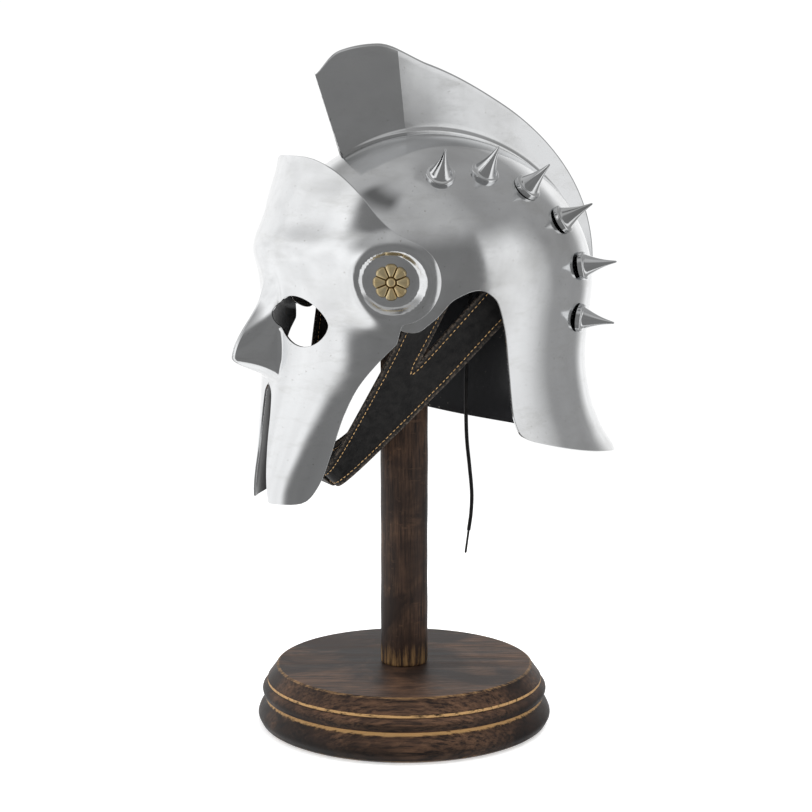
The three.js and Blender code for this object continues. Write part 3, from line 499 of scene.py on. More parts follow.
def makeLace():
    line = splineThrough(lace["route"], 260) + helmetPlace
    points, faces = tubeAlong(line, lace["diameter"] / 2)
    cord = settle(closeUp(makePiece("leather_lace", points, faces, [blackLeather])), "black_leather", "lace")
    route = np.array(lace["route"], float)
    way = unit(route[-1] - route[-2])
    step = np.linspace(0, lace["tip length"], 24)
    stretch = (lace["tip length"] + 0.6) / lace["tip length"]
    tip = route[-1] + helmetPlace + way * (lace["tip gap"] - 0.6 + step * stretch)[:, None]
    taper = lace["tip diameter"] / 2 * np.sqrt(1 - np.clip((step - 15) / 1.05, 0, 1) ** 2)
    points, faces = tubeAlong(tip, taper)
    end = closeUp(makePiece("leather_lace_tip", points, faces, [blackLeather]))
    end = settle(end, "black_leather", "lace_tip")


makeLace()
print("lace: done")


# Skull: sections by level, as shares of its widest section, apart at side and back.
skull = {
    "half width": 98.0,
    "front": 108.0,
    "back": 118.0,
    "dome height": helmet["dome height"],
    "nape depth": 119.0,
    "wall": 1.6,
    "side": [(0, 1), (0.22, 0.99), (0.42, 0.978), (0.62, 0.975), (0.82, 0.985), (1, 1.01)],
    "nape": [(0, 1), (0.22, 0.975), (0.42, 0.962), (0.62, 0.99), (0.82, 1.065), (1, 1.165)],
    "rim": [(0, 32), (28, 28), (44, 14), (56, -17), (64, -22), (71, -14), (78, -1), (86, 4), (92, -2),
            (96, -22), (98.5, -52), (100, -80), (102.5, -91), (110, -97), (140, -110), (180, -119)],
    "columns": 400,
    "rows": 78,
}
napeSide = curveThrough(skull["side"])
napeBack = curveThrough(skull["nape"])
rimCurve = curveThrough(skull["rim"])


def rimRise(azimuth):
    return rimCurve(np.abs((azimuth + 180) % 360 - 180))


# Point at an azimuth from the front and a rise above the widest level. Above it the section is
# an ellipse that shrinks as a quarter circle, and below it the section follows the two curves.
def skullPoint(azimuth, rise, inset=0.0):
    azimuth, rise = np.broadcast_arrays(np.asarray(azimuth, float), np.asarray(rise, float))
    side, ahead = np.sin(np.radians(azimuth)), np.cos(np.radians(azimuth))
    dome = np.sqrt(1 - np.clip(rise / (skull["dome height"] - inset), 0, 1) ** 2)
    level = -rise / skull["nape depth"]
    nape = napeSide(level) + (napeBack(level) - napeSide(level)) * ((1 - ahead) / 2) ** 2
    share = np.where(rise >= 0, dome, nape)
    drawn = inset * np.where(rise >= 0, dome, 1)
    reach = (skull["front"] + skull["back"]) / 2 - (skull["back"] - skull["front"]) / 2 * ahead
    across = (skull["half width"] * share - drawn) * side
    return np.stack([across, -(reach * share - drawn) * ahead, rise], -1)


def outwardOf(point, azimuth, rise):
    small = 0.5
    around = point(azimuth + small, rise) - point(azimuth - small, rise)
    up = point(azimuth, rise + small) - point(azimuth, rise - small)
    normal = unit(np.cross(around, up))
    return normal * np.sign((normal * point(azimuth, rise)).sum(-1, keepdims=True))


# Shell from the crown down to a rim: rows are even along the section, columns even along the rim.
def shellGrid(rim, inset, rows, columns):
    fine = np.linspace(0, 360, 4321)
    steps = np.linalg.norm(np.diff(skullPoint(fine, rim(fine)), axis=0), axis=1)
    length = np.concatenate([[0], np.cumsum(steps)])
    azimuth = np.interp(np.linspace(0, length[-1], columns, endpoint=False), length, fine)
    top = skull["dome height"] - inset
    low = rim(azimuth)
    total = np.arccos(np.clip(low / top, 0, 1)) * top + np.maximum(0, -low)
    along = np.linspace(0, 1, rows + 1)[1:, None] * total
    quarter = np.pi / 2 * top
    rise = np.where(along <= quarter, top * np.cos(np.minimum(along, quarter) / top), quarter - along)
    return np.broadcast_to(azimuth, rise.shape), rise


def makeSkull():
    azimuth, rise = shellGrid(rimRise, 0.0, skull["rows"], skull["columns"])
    points = np.concatenate([skullPoint(azimuth, rise).reshape(-1, 3), [[0, 0, skull["dome height"]]]])
    k = np.arange(skull["columns"])
    crown = np.stack([np.full(len(k), len(points) - 1), k, (k + 1) % len(k)], 1)
    faces = [gridFaces(skull["rows"], skull["columns"], ringColumns=True), crown]
    points, normals, faces, finish, _ = wallOf(points, surfaceNormals(points, faces), faces, skull["wall"])
    shell = makePiece("steel_skull", points + helmetPlace, faces, [polishedSteel, innerPaint], finish,
                      normals=normals)
    settle(shell, "polished_steel", "skull")


makeSkull()
print("skull: done")


# Face guard: sections by rise, a nose, a swollen brow, and a dished lobe at each temple.
guard = {
    "half width": 101.4,
    "front": 111.0,
    "top": 86.0,
    "depth": 137.0,
    "wall": 1.6,
    "brow rise": 26.0,
    "brow bulge": 6.0,
    "nose bulge": 27.0,
    "nose half width": 15.0,
    "nose drop": 43.0,
    "lobe": {"azimuth": 56.0, "rise": 10.0, "radius": 27.0, "dish": 18.0, "bulge": 5.0},
    "front shares": [(0, 1.09), (0.16, 1.05), (0.32, 1.01), (0.46, 0.985), (0.6, 0.99), (0.74, 0.985),
                     (0.86, 0.94), (1, 0.86)],
    "side shares": [(0, 0.56), (0.16, 0.67), (0.32, 0.84), (0.46, 0.99), (0.6, 1), (0.74, 1), (0.86, 1),
                    (1, 1)],
    "nose": [(-0.45, 0), (0.1, 0.25), (1, 1), (1.38, 0)],
    "upper edge": [(-144, 86), (-96.6, 86), (-92.1, 84.7), (-84.9, 77.4), (-76.6, 64.5), (-67.7, 49),
                   (-59.9, 39.6)],
    "cheek edge": [(-58.8, -28.8), (-66.6, -38.4), (-75.5, -54.8), (-82.1, -76.7), (-86.6, -101.4),
                   (-92.1, -123.3), (-98.8, -134.3), (-105.5, -137), (-144, -137)],
    "eye": {"centre": 33.0, "half width": 22.0, "half height": 17.0, "drop": 16.0},
    "mouth edge": [(15.2, -147), (11, -124), (8, -102.7), (7.2, -76), (5.4, -65), (0, -60)],
    "spread": 84.0,
    "cell": 1.55,
}
guardFrontShare = curveThrough(guard["front shares"])
guardSideShare = curveThrough(guard["side shares"])
nosePush = curveThrough(guard["nose"])


# Point of the guard: an ellipse at each rise, pushed out along the brow and the nose's keel, with
# a ring swollen round each lobe's dish.
def guardPoint(azimuth, rise, inset=0.0):
    azimuth, rise = np.broadcast_arrays(np.asarray(azimuth, float), np.asarray(rise, float))
    side, ahead = np.sin(np.radians(azimuth)), np.cos(np.radians(azimuth))
    share = (rise + guard["depth"]) / (guard["top"] + guard["depth"])
    x = (guard["half width"] * guardSideShare(share) - inset) * side
    y = -(guard["front"] * guardFrontShare(share) - inset) * ahead
    brow = guard["brow rise"] - 10 * (1 - ahead)
    browPush = guard["brow bulge"] * bell(rise - brow, 15) * bell(azimuth, 52)
    ridge = np.maximum(0, 1 - np.abs(x) / guard["nose half width"])
    push = browPush + guard["nose bulge"] * nosePush(-rise / guard["nose drop"]) * ridge**0.8
    lobe = guard["lobe"]
    away = np.hypot(np.radians(np.abs(azimuth) - lobe["azimuth"]) * guard["half width"], rise - lobe["rise"])
    ring = smoothStep(away, lobe["dish"] - 3, lobe["dish"] + 3) * bell(away - lobe["dish"] - 3, 10)
    swell = lobe["bulge"] * ring
    out = y - (push + swell * 0.6) * np.maximum(ahead, 0)
    return np.stack([x + (push * 0.2 + swell) * side, out, rise], -1)


# Signed distance inside a closed outline: the nearest edge's distance, positive where a ray from
# the point crosses the outline an odd number of times.
def depthInside(points, outline):
    a, b = outline, np.roll(outline, -1, 0)
    edge = b - a
    apart = points[:, None] - a
    t = np.clip((apart * edge).sum(-1) / np.maximum((edge**2).sum(-1), 1e-12), 0, 1)
    distance = np.linalg.norm(apart - t[..., None] * edge, axis=-1).min(1)
    up = points[:, None, 1]
    spans = (a[:, 1] > up) != (b[:, 1] > up)
    height = np.where(b[:, 1] == a[:, 1], 1e-9, b[:, 1] - a[:, 1])
    crosses = spans & (points[:, None, 0] < a[:, 0] + (up - a[:, 1]) * edge[:, 0] / height)
    return np.where(crosses.sum(1) % 2 == 1, distance, -distance)


def guardOutlines():
    lobe = guard["lobe"]
    centre = guardPoint(lobe["azimuth"], lobe["rise"])[1:]
    turn = np.radians(np.linspace(62, -80, 40))
    arc = centre + lobe["radius"] * np.stack([np.cos(turn), np.sin(turn)], 1)
    above = splineThrough(guard["upper edge"], 50)
    sideView = np.concatenate([above, arc, splineThrough(guard["cheek edge"], 50)])
    eye = guard["eye"]
    turn = np.linspace(0, 2 * np.pi, 90, endpoint=False)
    lens = np.sign(np.sin(turn)) * np.abs(np.sin(turn)) ** 1.25
    across = eye["half width"] * np.cos(turn)
    up = eye["half height"] * lens * np.where(lens > 0, 0.85, 1.05) - across * 0.12 - eye["drop"]
    left = np.stack([eye["centre"] + across, up], 1)
    half = splineThrough(guard["mouth edge"], 40)
    mouth = np.concatenate([half, half[-2::-1] * [-1, 1]])
    return sideView, [left, left * [-1, 1], mouth]


# Sheet cut to an outline. Grid corners within half a cell of it are moved onto it by Newton
# steps along the slope of their depth, cells outside are dropped, and a cell with one corner
# outside becomes a triangle.
def trimmedSheet(place, normal, depth, rows, columns):
    b, a = np.meshgrid(np.arange(rows, dtype=float), np.arange(columns, dtype=float), indexing="ij")
    a, b = a.ravel(), b.ravel()

    def steepness(a, b):
        here, small = depth(place(a, b)), 0.05
        slopeA = (depth(place(a + small, b)) - here) / small
        slopeB = (depth(place(a, b + small)) - here) / small
        return here, slopeA, slopeB, np.maximum(slopeA**2 + slopeB**2, 1e-6)

    here, slopeA, slopeB, square = steepness(a, b)
    near = np.abs(here) / np.sqrt(square) <= 0.52
    for _ in range(8):
        fit, slopeA, slopeB, square = steepness(a[near], b[near])
        a[near] -= np.clip(fit * slopeA / square, -0.6, 0.6)
        b[near] -= np.clip(fit * slopeB / square, -0.6, 0.6)
    outside = ~near & (here < 0)
    quads = gridFaces(rows, columns)
    lost = outside[quads].sum(1)
    whole = quads[lost == 0]
    middle = depth(place(a[whole].mean(1), b[whole].mean(1)))
    whole = whole[middle > -0.2]
    split = quads[lost == 1]
    first = np.argmax(outside[split], axis=1)
    turn = (first[:, None] + np.arange(1, 4)) % 4
    corners = np.take_along_axis(split, turn, 1)
    middle = depth(place(a[corners].mean(1), b[corners].mean(1)))
    corners = corners[middle > -0.1]
    used = np.unique(np.concatenate([whole.ravel(), corners.ravel()]))
    number = np.zeros(rows * columns, int)
    number[used] = np.arange(len(used))
    return place(a[used], b[used]), normal(a[used], b[used]), [number[whole], number[corners]]


def makeFaceGuard():
    sideView, holes = guardOutlines()
    columns = int(2 * np.radians(guard["spread"]) * guard["half width"] / guard["cell"]) // 2 * 2 + 1
    rows = int((guard["top"] + guard["depth"] + 4) / guard["cell"])

    def angleAndRise(a, b):
        rise = guard["top"] + 2 - b / (rows - 1) * (guard["top"] + guard["depth"] + 4)
        return (2 * a / (columns - 1) - 1) * guard["spread"], rise

    def place(a, b):
        return guardPoint(*angleAndRise(a, b))

    def normal(a, b):
        return outwardOf(guardPoint, *angleAndRise(a, b))

    def depth(points):
        inside = depthInside(points[:, 1:], sideView)
        for hole in holes:
            inside = np.minimum(inside, -depthInside(points[:, ::2], hole))
        return inside

    points, normals, faces = trimmedSheet(place, normal, depth, rows, columns)
    points, normals, faces, finish, _ = wallOf(points, normals, faces, guard["wall"])
    plate = makePiece("steel_face_guard", points + helmetPlace, faces, [polishedSteel, innerPaint], finish,
                      normals=normals)
    settle(plate, "polished_steel", "face_guard")


makeFaceGuard()
print("face guard: done")


# Crest: a closed comb over the skull's middle line. Ahead of its crease it narrows like a wedge.
crest = {
    "height": 64.0,
    "front angle": -33.0,
    "back drop": 44.0,
    "lean": 19.0,
    "heights": [(0, 0.88), (0.06, 0.99), (0.13, 0.95), (0.23, 0.7), (0.38, 0.46), (0.6, 0.3), (1, 0.13)],
    "foot": [(-1.2, 7.5), (0.8, 7.5), (1.4, 7.2), (2.0, 6.3), (2.9, 5.6), (4.2, 5.2)],  # up, half width
    "top half width": 3.5,
    "round": 2.4,
    "crease": 0.17,  # share of the crest's length
    "front share": 0.16,  # share of its width left at its front edge
    "stations": 240,
}
crestShare = curveThrough(crest["heights"])


# Foot of the crest at a share of its length, and the way that it stands up from there.
def crestLine(along):
    dome = np.radians(90 - crest["front angle"]) * skull["dome height"]
    length = along * (dome + crest["back drop"])
    angle = np.radians(crest["front angle"]) + np.minimum(length, dome) / skull["dome height"]
    reach = np.where(angle < 0, skull["front"], skull["back"])
    none = np.zeros_like(angle)
    foot = np.stack([none, reach * np.sin(angle), skull["dome height"] * np.cos(angle)], -1)
    out = np.stack([none, np.sin(angle) / reach, np.cos(angle) / skull["dome height"]], -1)
    nape = (length > dome)[:, None]
    foot = np.where(nape, skullPoint(180.0, np.minimum(dome - length, 0)), foot)
    out = unit(np.where(nape, outwardOf(skullPoint, 180.0, np.minimum(dome - length, 0)), out))
    lean = np.radians(crest["lean"]) * (1 - smoothStep(along, 0, 0.17))
    tilt = np.stack([none, -np.sin(lean), np.cos(lean)], -1)
    held = (1 - smoothStep(along, 0, 0.27))[:, None]
    return foot + out * 0.3, unit(out + (tilt - out) * held)


def makeCrest():
    crease = int(crest["crease"] * (crest["stations"] - 1))
    along = np.linspace(0, 1, crest["stations"])
    foot, way = crestLine(along)
    height = (crest["height"] * crestShare(along))[:, None]
    bend = np.linspace(0, np.pi / 2, 7)
    lowUp, lowHalf = np.array(crest["foot"]).T
    wall = np.linspace(0.08, 0.92, 12)
    roundTop = crest["round"]
    up = np.concatenate([
        np.broadcast_to(lowUp, (len(along), len(lowUp))),
        lowUp[-1] + (height - roundTop - lowUp[-1]) * wall,
        height - roundTop + roundTop * np.sin(bend),
    ], 1)
    half = np.concatenate([
        lowHalf, lowHalf[-1] + (crest["top half width"] - lowHalf[-1]) * wall,
        crest["top half width"] * np.cos(bend) + 0.02,
    ])
    wedge = crest["front share"] + (1 - crest["front share"]) * np.clip(along / along[crease], 0, 1)
    side = foot[:, None] + way[:, None] * up[..., None]
    left, right = side.copy(), side[:, ::-1].copy()
    left[..., 0] = half * wedge[:, None]
    right[..., 0] = -half[::-1] * wedge[:, None]
    ring = np.concatenate([left, right], 1)
    count = ring.shape[1]
    points = np.concatenate([ring.reshape(-1, 3), ring[:1].mean(1), ring[-1:].mean(1)])
    k = np.arange(count)
    front = np.stack([np.full(count, len(points) - 2), (k + 1) % count, k], 1)
    last = len(along) * count - count
    rear = np.stack([np.full(count, len(points) - 1), last + k, last + (k + 1) % count], 1)
    faces = [gridFaces(len(along), count, ringColumns=True), front, rear]
    comb = makePiece("steel_crest", points + helmetPlace, faces, [polishedSteel])
    closeUp(comb)
    pairs = np.empty(2 * len(comb.data.edges), np.int32)
    comb.data.edges.foreach_get("vertices", pairs)
    onCrease = pairs.reshape(-1, 2) // count == crease
    comb.data.edges.foreach_set("use_edge_sharp", onCrease.all(1))
    roundEdges(comb, 0.5, 3, 50)
    settle(comb, "polished_steel", "crest")


makeCrest()
print("crest: done")


# Turned body: rings of a profile (radius, height) round an axis from a seat, poles closed.
def turned(profile, seat=(0, 0, 0), out=(0, 0, 1), around=48):
    out = unit(np.array(out, float))
    across = unit(np.cross([0, 0, 1.0], out)) if abs(out[2]) < 0.999 else np.array([1.0, 0, 0])
    through = np.cross(out, across)
    turn = np.linspace(0, 2 * np.pi, around, endpoint=False)
    circle = np.cos(turn)[:, None] * across + np.sin(turn)[:, None] * through
    radius, height = np.asarray(profile, float).T
    rings = radius[:, None, None] * circle + height[:, None, None] * out + np.array(seat, float)
    ends = np.array([seat + height[0] * out, seat + height[-1] * out])
    count, k = len(radius) * around, np.arange(around)
    low = np.stack([np.full(around, count), (k + 1) % around, k], 1)
    high = np.stack([np.full(around, count + 1), count - around + k, count - around + (k + 1) % around], 1)
    faces = [gridFaces(len(radius), around, ringColumns=True), low, high]
    return np.concatenate([rings.reshape(-1, 3), ends]), faces


# Studs: turned cones on round collars, six to a side, and one brass rosette on each temple lobe.
stud = {
    "height": 23.0,
    "collar radius": 9.5,
    "collar height": 2.2,
    "root radius": 7.4,
    "tip radius": 0.7,
    "waist": 0.9,  # how far the cone's side draws in, mm
    "per side": 6,
    "spread": 40.0,
    "first angle": -14.0,
    "last angle": 104.0,
}


def studProfile():
    rim = np.radians(np.linspace(0, 90, 7))
    collar = np.stack([stud["collar radius"] - 0.9 + 0.9 * np.cos(rim),
                       stud["collar height"] - 0.9 + 0.9 * np.sin(rim)], 1)
    share = np.linspace(0, 1, 16)
    narrowing = (stud["tip radius"] - stud["root radius"]) * share
    radius = stud["root radius"] + narrowing - stud["waist"] * np.sin(np.pi * share)
    rise = (stud["height"] - stud["collar height"] - 0.9) * share
    cone = np.stack([radius, stud["collar height"] + 0.3 + rise], 1)
    tip = np.radians(np.linspace(20, 88, 5))
    point = np.stack([stud["tip radius"] * np.cos(tip), stud["height"] - 0.65 + 0.65 * np.sin(tip)], 1)
    low = [[stud["collar radius"], -1.0]]
    fillet = [[stud["root radius"] + 0.5, stud["collar height"] + 0.05]]
    return np.concatenate([low, collar, fillet, cone, point])


# Where a ray from the skull's centre leaves the skull, found by halving.
def skullSeat(way):
    low, high = 0.0, 240.0
    for _ in range(40):
        middle = (low + high) / 2
        x, y, z = way * middle
        azimuth = math.degrees(math.atan2(x, -y))
        reach = np.linalg.norm(skullPoint(azimuth, z)[:2])
        if z > skull["dome height"] or math.hypot(x, y) > reach:
            high = middle
        else:
            low = middle
    seat = way * low
    return seat, outwardOf(skullPoint, math.degrees(math.atan2(seat[0], -seat[1])), seat[2])


def makeStuds():
    profile = studProfile()
    spread = math.radians(stud["spread"])
    angles = np.radians(np.linspace(stud["first angle"], stud["last angle"], stud["per side"]))
    for k, angle in enumerate(angles):
        flat = math.cos(spread)
        way = np.array([math.sin(spread), math.sin(angle) * flat, math.cos(angle) * flat])
        seat, out = skullSeat(way)
        for side, sign in (("left", 1), ("right", -1)):
            mirrored = np.array([sign, 1, 1])
            points, faces = turned(profile, seat * mirrored, out * mirrored)
            piece = makePiece(f"steel_stud_{side}_{k + 1}", points + helmetPlace, faces, [polishedSteel])
            closeUp(piece)
            piece.data.set_sharp_from_angle(angle=math.radians(50))
            settle(piece, "polished_steel", f"stud_{side}_{k + 1}")


rosette = {"radius": 11.5, "thickness": 3.2, "petals": 8, "eye": 2.9, "rings": 46, "around": 256}


# Rosette as a polar height field: each petal is wide with a round outer end, deep
# grooves between the petals and round the domed middle.
def makeRosettes():
    lobe = guard["lobe"]
    ring = np.linspace(0.02, 1, rosette["rings"])[:, None]
    turn = np.linspace(0, 2 * np.pi, rosette["around"], endpoint=False)[None, :]
    petal = 2 * np.pi / rosette["petals"]
    inPetal = np.abs((turn + petal / 2) % petal - petal / 2)  # 0 in a petal's middle
    toBorder = petal / 2 - inPetal
    outline = 1 - 0.14 * (inPetal / (petal / 2)) ** 3
    radius = rosette["radius"] * ring * (1 - (1 - outline) * smoothStep(ring, 0.45, 1))
    eye = rosette["eye"]
    groove = np.maximum(bell(radius * toBorder, 0.34) * (radius > eye), bell(radius - eye - 0.3, 0.4))
    vein = 0.2 * bell(radius * inPetal, 0.25) * smoothStep(radius, eye + 2, eye + 5)
    swell = np.sqrt(np.clip(1 - ((radius - 7.6) / 5.6) ** 2, 0, 1)) * (1 - 0.5 * (inPetal / (petal / 2)) ** 2)
    dome = np.sqrt(np.clip(1 - (radius / (eye + 0.4)) ** 2, 0, 1))
    height = np.where(radius < eye, 1.9 + 1.5 * dome, 1.2 + 1.5 * swell) - 0.9 * groove - 0.35 * vein
    height = np.maximum(height * (1 - 0.55 * smoothStep(ring, 0.9, 1)), 0.5)
    count = rosette["around"]
    dark = np.clip(groove + 0.7 * vein + 0.6 * smoothStep(ring, 0.95, 1), 0, 1)
    for side, sign in (("left", 1), ("right", -1)):
        seat = guardPoint(lobe["azimuth"], lobe["rise"]) * [sign, 1, 1]
        out = outwardOf(guardPoint, lobe["azimuth"], lobe["rise"]) * [sign, 1, 1]
        across = unit(np.cross([0, 0, 1.0], out))
        through = np.cross(out, across)

        def lay(radius, height):
            flat = radius[..., None] * (np.cos(turn)[..., None] * across + np.sin(turn)[..., None] * through)
            return flat + np.broadcast_to(height, radius.shape)[..., None] * out + seat

        rows = np.concatenate([lay(radius, height), lay(radius[-1:], np.array(-0.6))])
        points = np.concatenate([rows.reshape(-1, 3), [seat + out * 3.4, seat - out * 0.6]])
        k, last = np.arange(count), (len(rows) - 1) * count
        faces = [gridFaces(len(rows), count, ringColumns=True),
                 np.stack([np.full(count, len(points) - 2), k, (k + 1) % count], 1),
                 np.stack([np.full(count, len(points) - 1), last + (k + 1) % count, last + k], 1)]
        shade = np.concatenate([dark.ravel(), np.ones(count), [0, 1]])
        piece = makePiece(f"brass_rosette_{side}", points + helmetPlace, faces, [agedBrass],
                          attributes={"groove": shade})
        settle(closeUp(piece), "aged_brass", f"rosette_{side}")


makeStuds()
makeRosettes()
print("studs and rosettes: done")


# Liner: a leather cap inside the skull, cut into tongues that meet at the crown.
liner = {
    "thickness": 2.0, "gap": 1.5, "tongues": 8, "slot": 12.0, "crown": 26.0, "slot foot": 62.0,
    "edge rise": 18.0,
}


def makeLiner():
    inset = skull["wall"] + liner["gap"] + liner["thickness"] / 2
    perTongue, perSlot, rows = 26, 6, 60
    sector = 360 / liner["tongues"]
    tongue = np.linspace(0, 1, perTongue, endpoint=False)
    flatRun = np.zeros(perTongue + perSlot)
    azimuth = np.concatenate([(k + 0.5) * sector + flatRun for k in range(liner["tongues"])])
    share = np.tile(np.concatenate([tongue, np.ones(perSlot)]), liner["tongues"])
    across = np.linspace(0, 1, perSlot, endpoint=False)
    slotShare = np.tile(np.concatenate([np.zeros(perTongue), across]), liner["tongues"])
    top = skull["dome height"] - inset
    angle = np.linspace(0, 1, rows + 1)[1:, None] * np.pi / 2
    reach = 105 * np.sin(angle)
    held = np.maximum(reach, liner["crown"])
    half = np.degrees(np.arcsin(np.clip(liner["slot"] / 2 / held, 0, 1)))
    start = azimuth + half
    azimuth = start + share * (sector - 2 * half) + slotShare * 2 * half
    low = np.maximum(liner["edge rise"], rimRise(azimuth) + 6)
    lowAngle = np.arccos(low / top)
    along = angle / (np.pi / 2) * lowAngle
    rise = top * np.cos(along)
    points = np.concatenate([skullPoint(azimuth, rise, inset).reshape(-1, 3), [[0, 0, top]]])
    columns = azimuth.shape[1]
    quads = gridFaces(rows, columns, ringColumns=True)
    j = quads[:, 0] % columns % (perTongue + perSlot)
    i = quads[:, 0] // columns
    reached = 105 * np.sin(along[i, quads[:, 0] % columns])
    cut = (j >= perTongue) & (reached > liner["crown"]) & (rise.ravel()[quads[:, 3]] > liner["slot foot"])
    k = np.arange(columns)
    crown = np.stack([np.full(columns, len(points) - 1), k, (k + 1) % columns], 1)
    faces = [quads[~cut], crown]
    used = np.unique(np.concatenate([f.ravel() for f in faces]))
    number = np.zeros(len(points), int)
    number[used] = np.arange(len(used))
    faces, normals = [number[f] for f in faces], surfaceNormals(points, faces)[used]
    outer = points[used] + normals * liner["thickness"] / 2
    points, normals, faces, _, _ = wallOf(outer, normals, faces, liner["thickness"], 0.5)
    rim = np.zeros(len(points))
    cap = makePiece("leather_liner", points + helmetPlace, faces, [blackLeather], attributes={"rim": rim},
                    normals=normals)
    settle(cap, "black_leather", "liner")


makeLiner()
print("liner: done")


# Chin straps: two arms on the liner behind the ear arch meet at a notch and run to the chin.
strap = {
    "thickness": 2.4,
    "inset": 1.0,
    "chin drop": 122.0,
    "chin forward": 74.0,
    "width": 15.0,
    "tops": {"front": (68, 5), "notch front": (86, 25), "notch back": (97, 15), "back": (104, -8)},
    "notch along": 0.3,
    "notch across": 0.42,
    "bow": 5.0,
    "layer": 1.4,
    "sleeve length": 20.0,
    "sleeve wall": 1.6,
    "tail length": 52.0,
    "rows": 121,
    "stitch": {"pitch": 3.3, "length": 2.3, "width": 0.62, "height": 0.5, "inset": 3.0},
}
strapPlane = np.array([0, -0.72, 0.69])
strapThrough = unit(np.cross([1.0, 0, 0], strapPlane))


def chinPoint(x, across):
    return np.array([x, -strap["chin forward"], -strap["chin drop"]]) + strapPlane * across * strap["width"]


def strapTop(name):
    azimuth, rise = strap["tops"][name]
    inner = skull["wall"] + liner["gap"] + liner["thickness"]
    return skullPoint(azimuth, rise, inner + strap["inset"] + strap["thickness"] / 2)


# Edges of a strap at even shares of their length, and its two arms' inner edges, which run
# straight to the notch and from there down the strap's middle together.
def strapEdges():
    length = strap["sleeve length"]

    def edge(name, across):
        top, turnIn = strapTop(name), chinPoint(length * 0.95, across)
        middle = (top + turnIn) / 2 + [strap["bow"], 0, 0]
        knots = [top, middle, turnIn, chinPoint(length * 0.6, across), chinPoint(-length * 0.35, across)]
        return splineThrough(knots, strap["rows"])

    front, back = edge("front", 0.5), edge("back", -0.5)
    along = np.linspace(0, 1, strap["rows"])[:, None]
    middle = front + (back - front) * strap["notch across"]
    at = int(strap["notch along"] * (strap["rows"] - 1))
    notch, share = middle[at], np.clip(along / strap["notch along"], 0, 1)
    inArms = along < strap["notch along"]
    armFront = np.where(inArms, strapTop("notch front") * (1 - share) + notch * share, middle)
    armBack = np.where(inArms, strapTop("notch back") * (1 - share) + notch * share, middle)
    return front, armFront, armBack, back, at


def pairedSheet(left, right, columns):
    share = np.linspace(0, 1, columns)[None, :, None]
    return left[:, None] + (right - left)[:, None] * share


def sheetNormal(left, right):
    middle = (left + right) / 2
    return unit(np.cross(np.gradient(middle, axis=0), right - left))


# Stitches: one small pill of thread at every pitch along a line, lying on the leather.
def stitchesAlong(line, normal):
    own = strap["stitch"]
    length = np.concatenate([[0], np.cumsum(np.linalg.norm(np.diff(line, axis=0), axis=1))])
    count = max(int(length[-1] / own["pitch"]), 1)
    at = (np.arange(count) + 0.5) * length[-1] / count
    sample = lambda rows: np.stack([np.interp(at, length, rows[:, k]) for k in range(3)], 1)
    centre, out = sample(line), unit(sample(normal))
    tangent = unit(sample(np.gradient(line, axis=0)))
    across = unit(np.cross(out, tangent))
    sixths = np.linspace(0, 2 * np.pi, 6, endpoint=False)
    bend, turn = np.meshgrid(np.radians([10, 50, 90, 130, 170]), sixths, indexing="ij")
    pill = np.stack([-np.cos(bend) * own["length"] / 2, np.sin(bend) * np.cos(turn) * own["width"] / 2,
                     np.sin(bend) * np.sin(turn) * own["height"] / 2], -1).reshape(-1, 3)
    points = (centre[:, None] + pill[:, 0, None] * tangent[:, None] + pill[:, 1, None] * across[:, None]
              + pill[:, 2, None] * out[:, None])
    faces = gridFaces(5, 6, ringColumns=True)
    ends = np.array([[0, 5, 4, 3], [0, 3, 2, 1], [24, 25, 26, 27], [24, 27, 28, 29]])
    one = np.concatenate([faces, ends])
    return points.reshape(-1, 3), (one[None] + np.arange(count)[:, None, None] * 30).reshape(-1, 4)


def joinBodies(bodies):
    start = np.cumsum([0] + [len(points) for points, _ in bodies[:-1]])
    return np.concatenate([b[0] for b in bodies]), [np.concatenate([b[1] + s for b, s in zip(bodies, start)])]


def insetLine(edge, opposite, inset):
    return edge + unit(opposite - edge) * inset


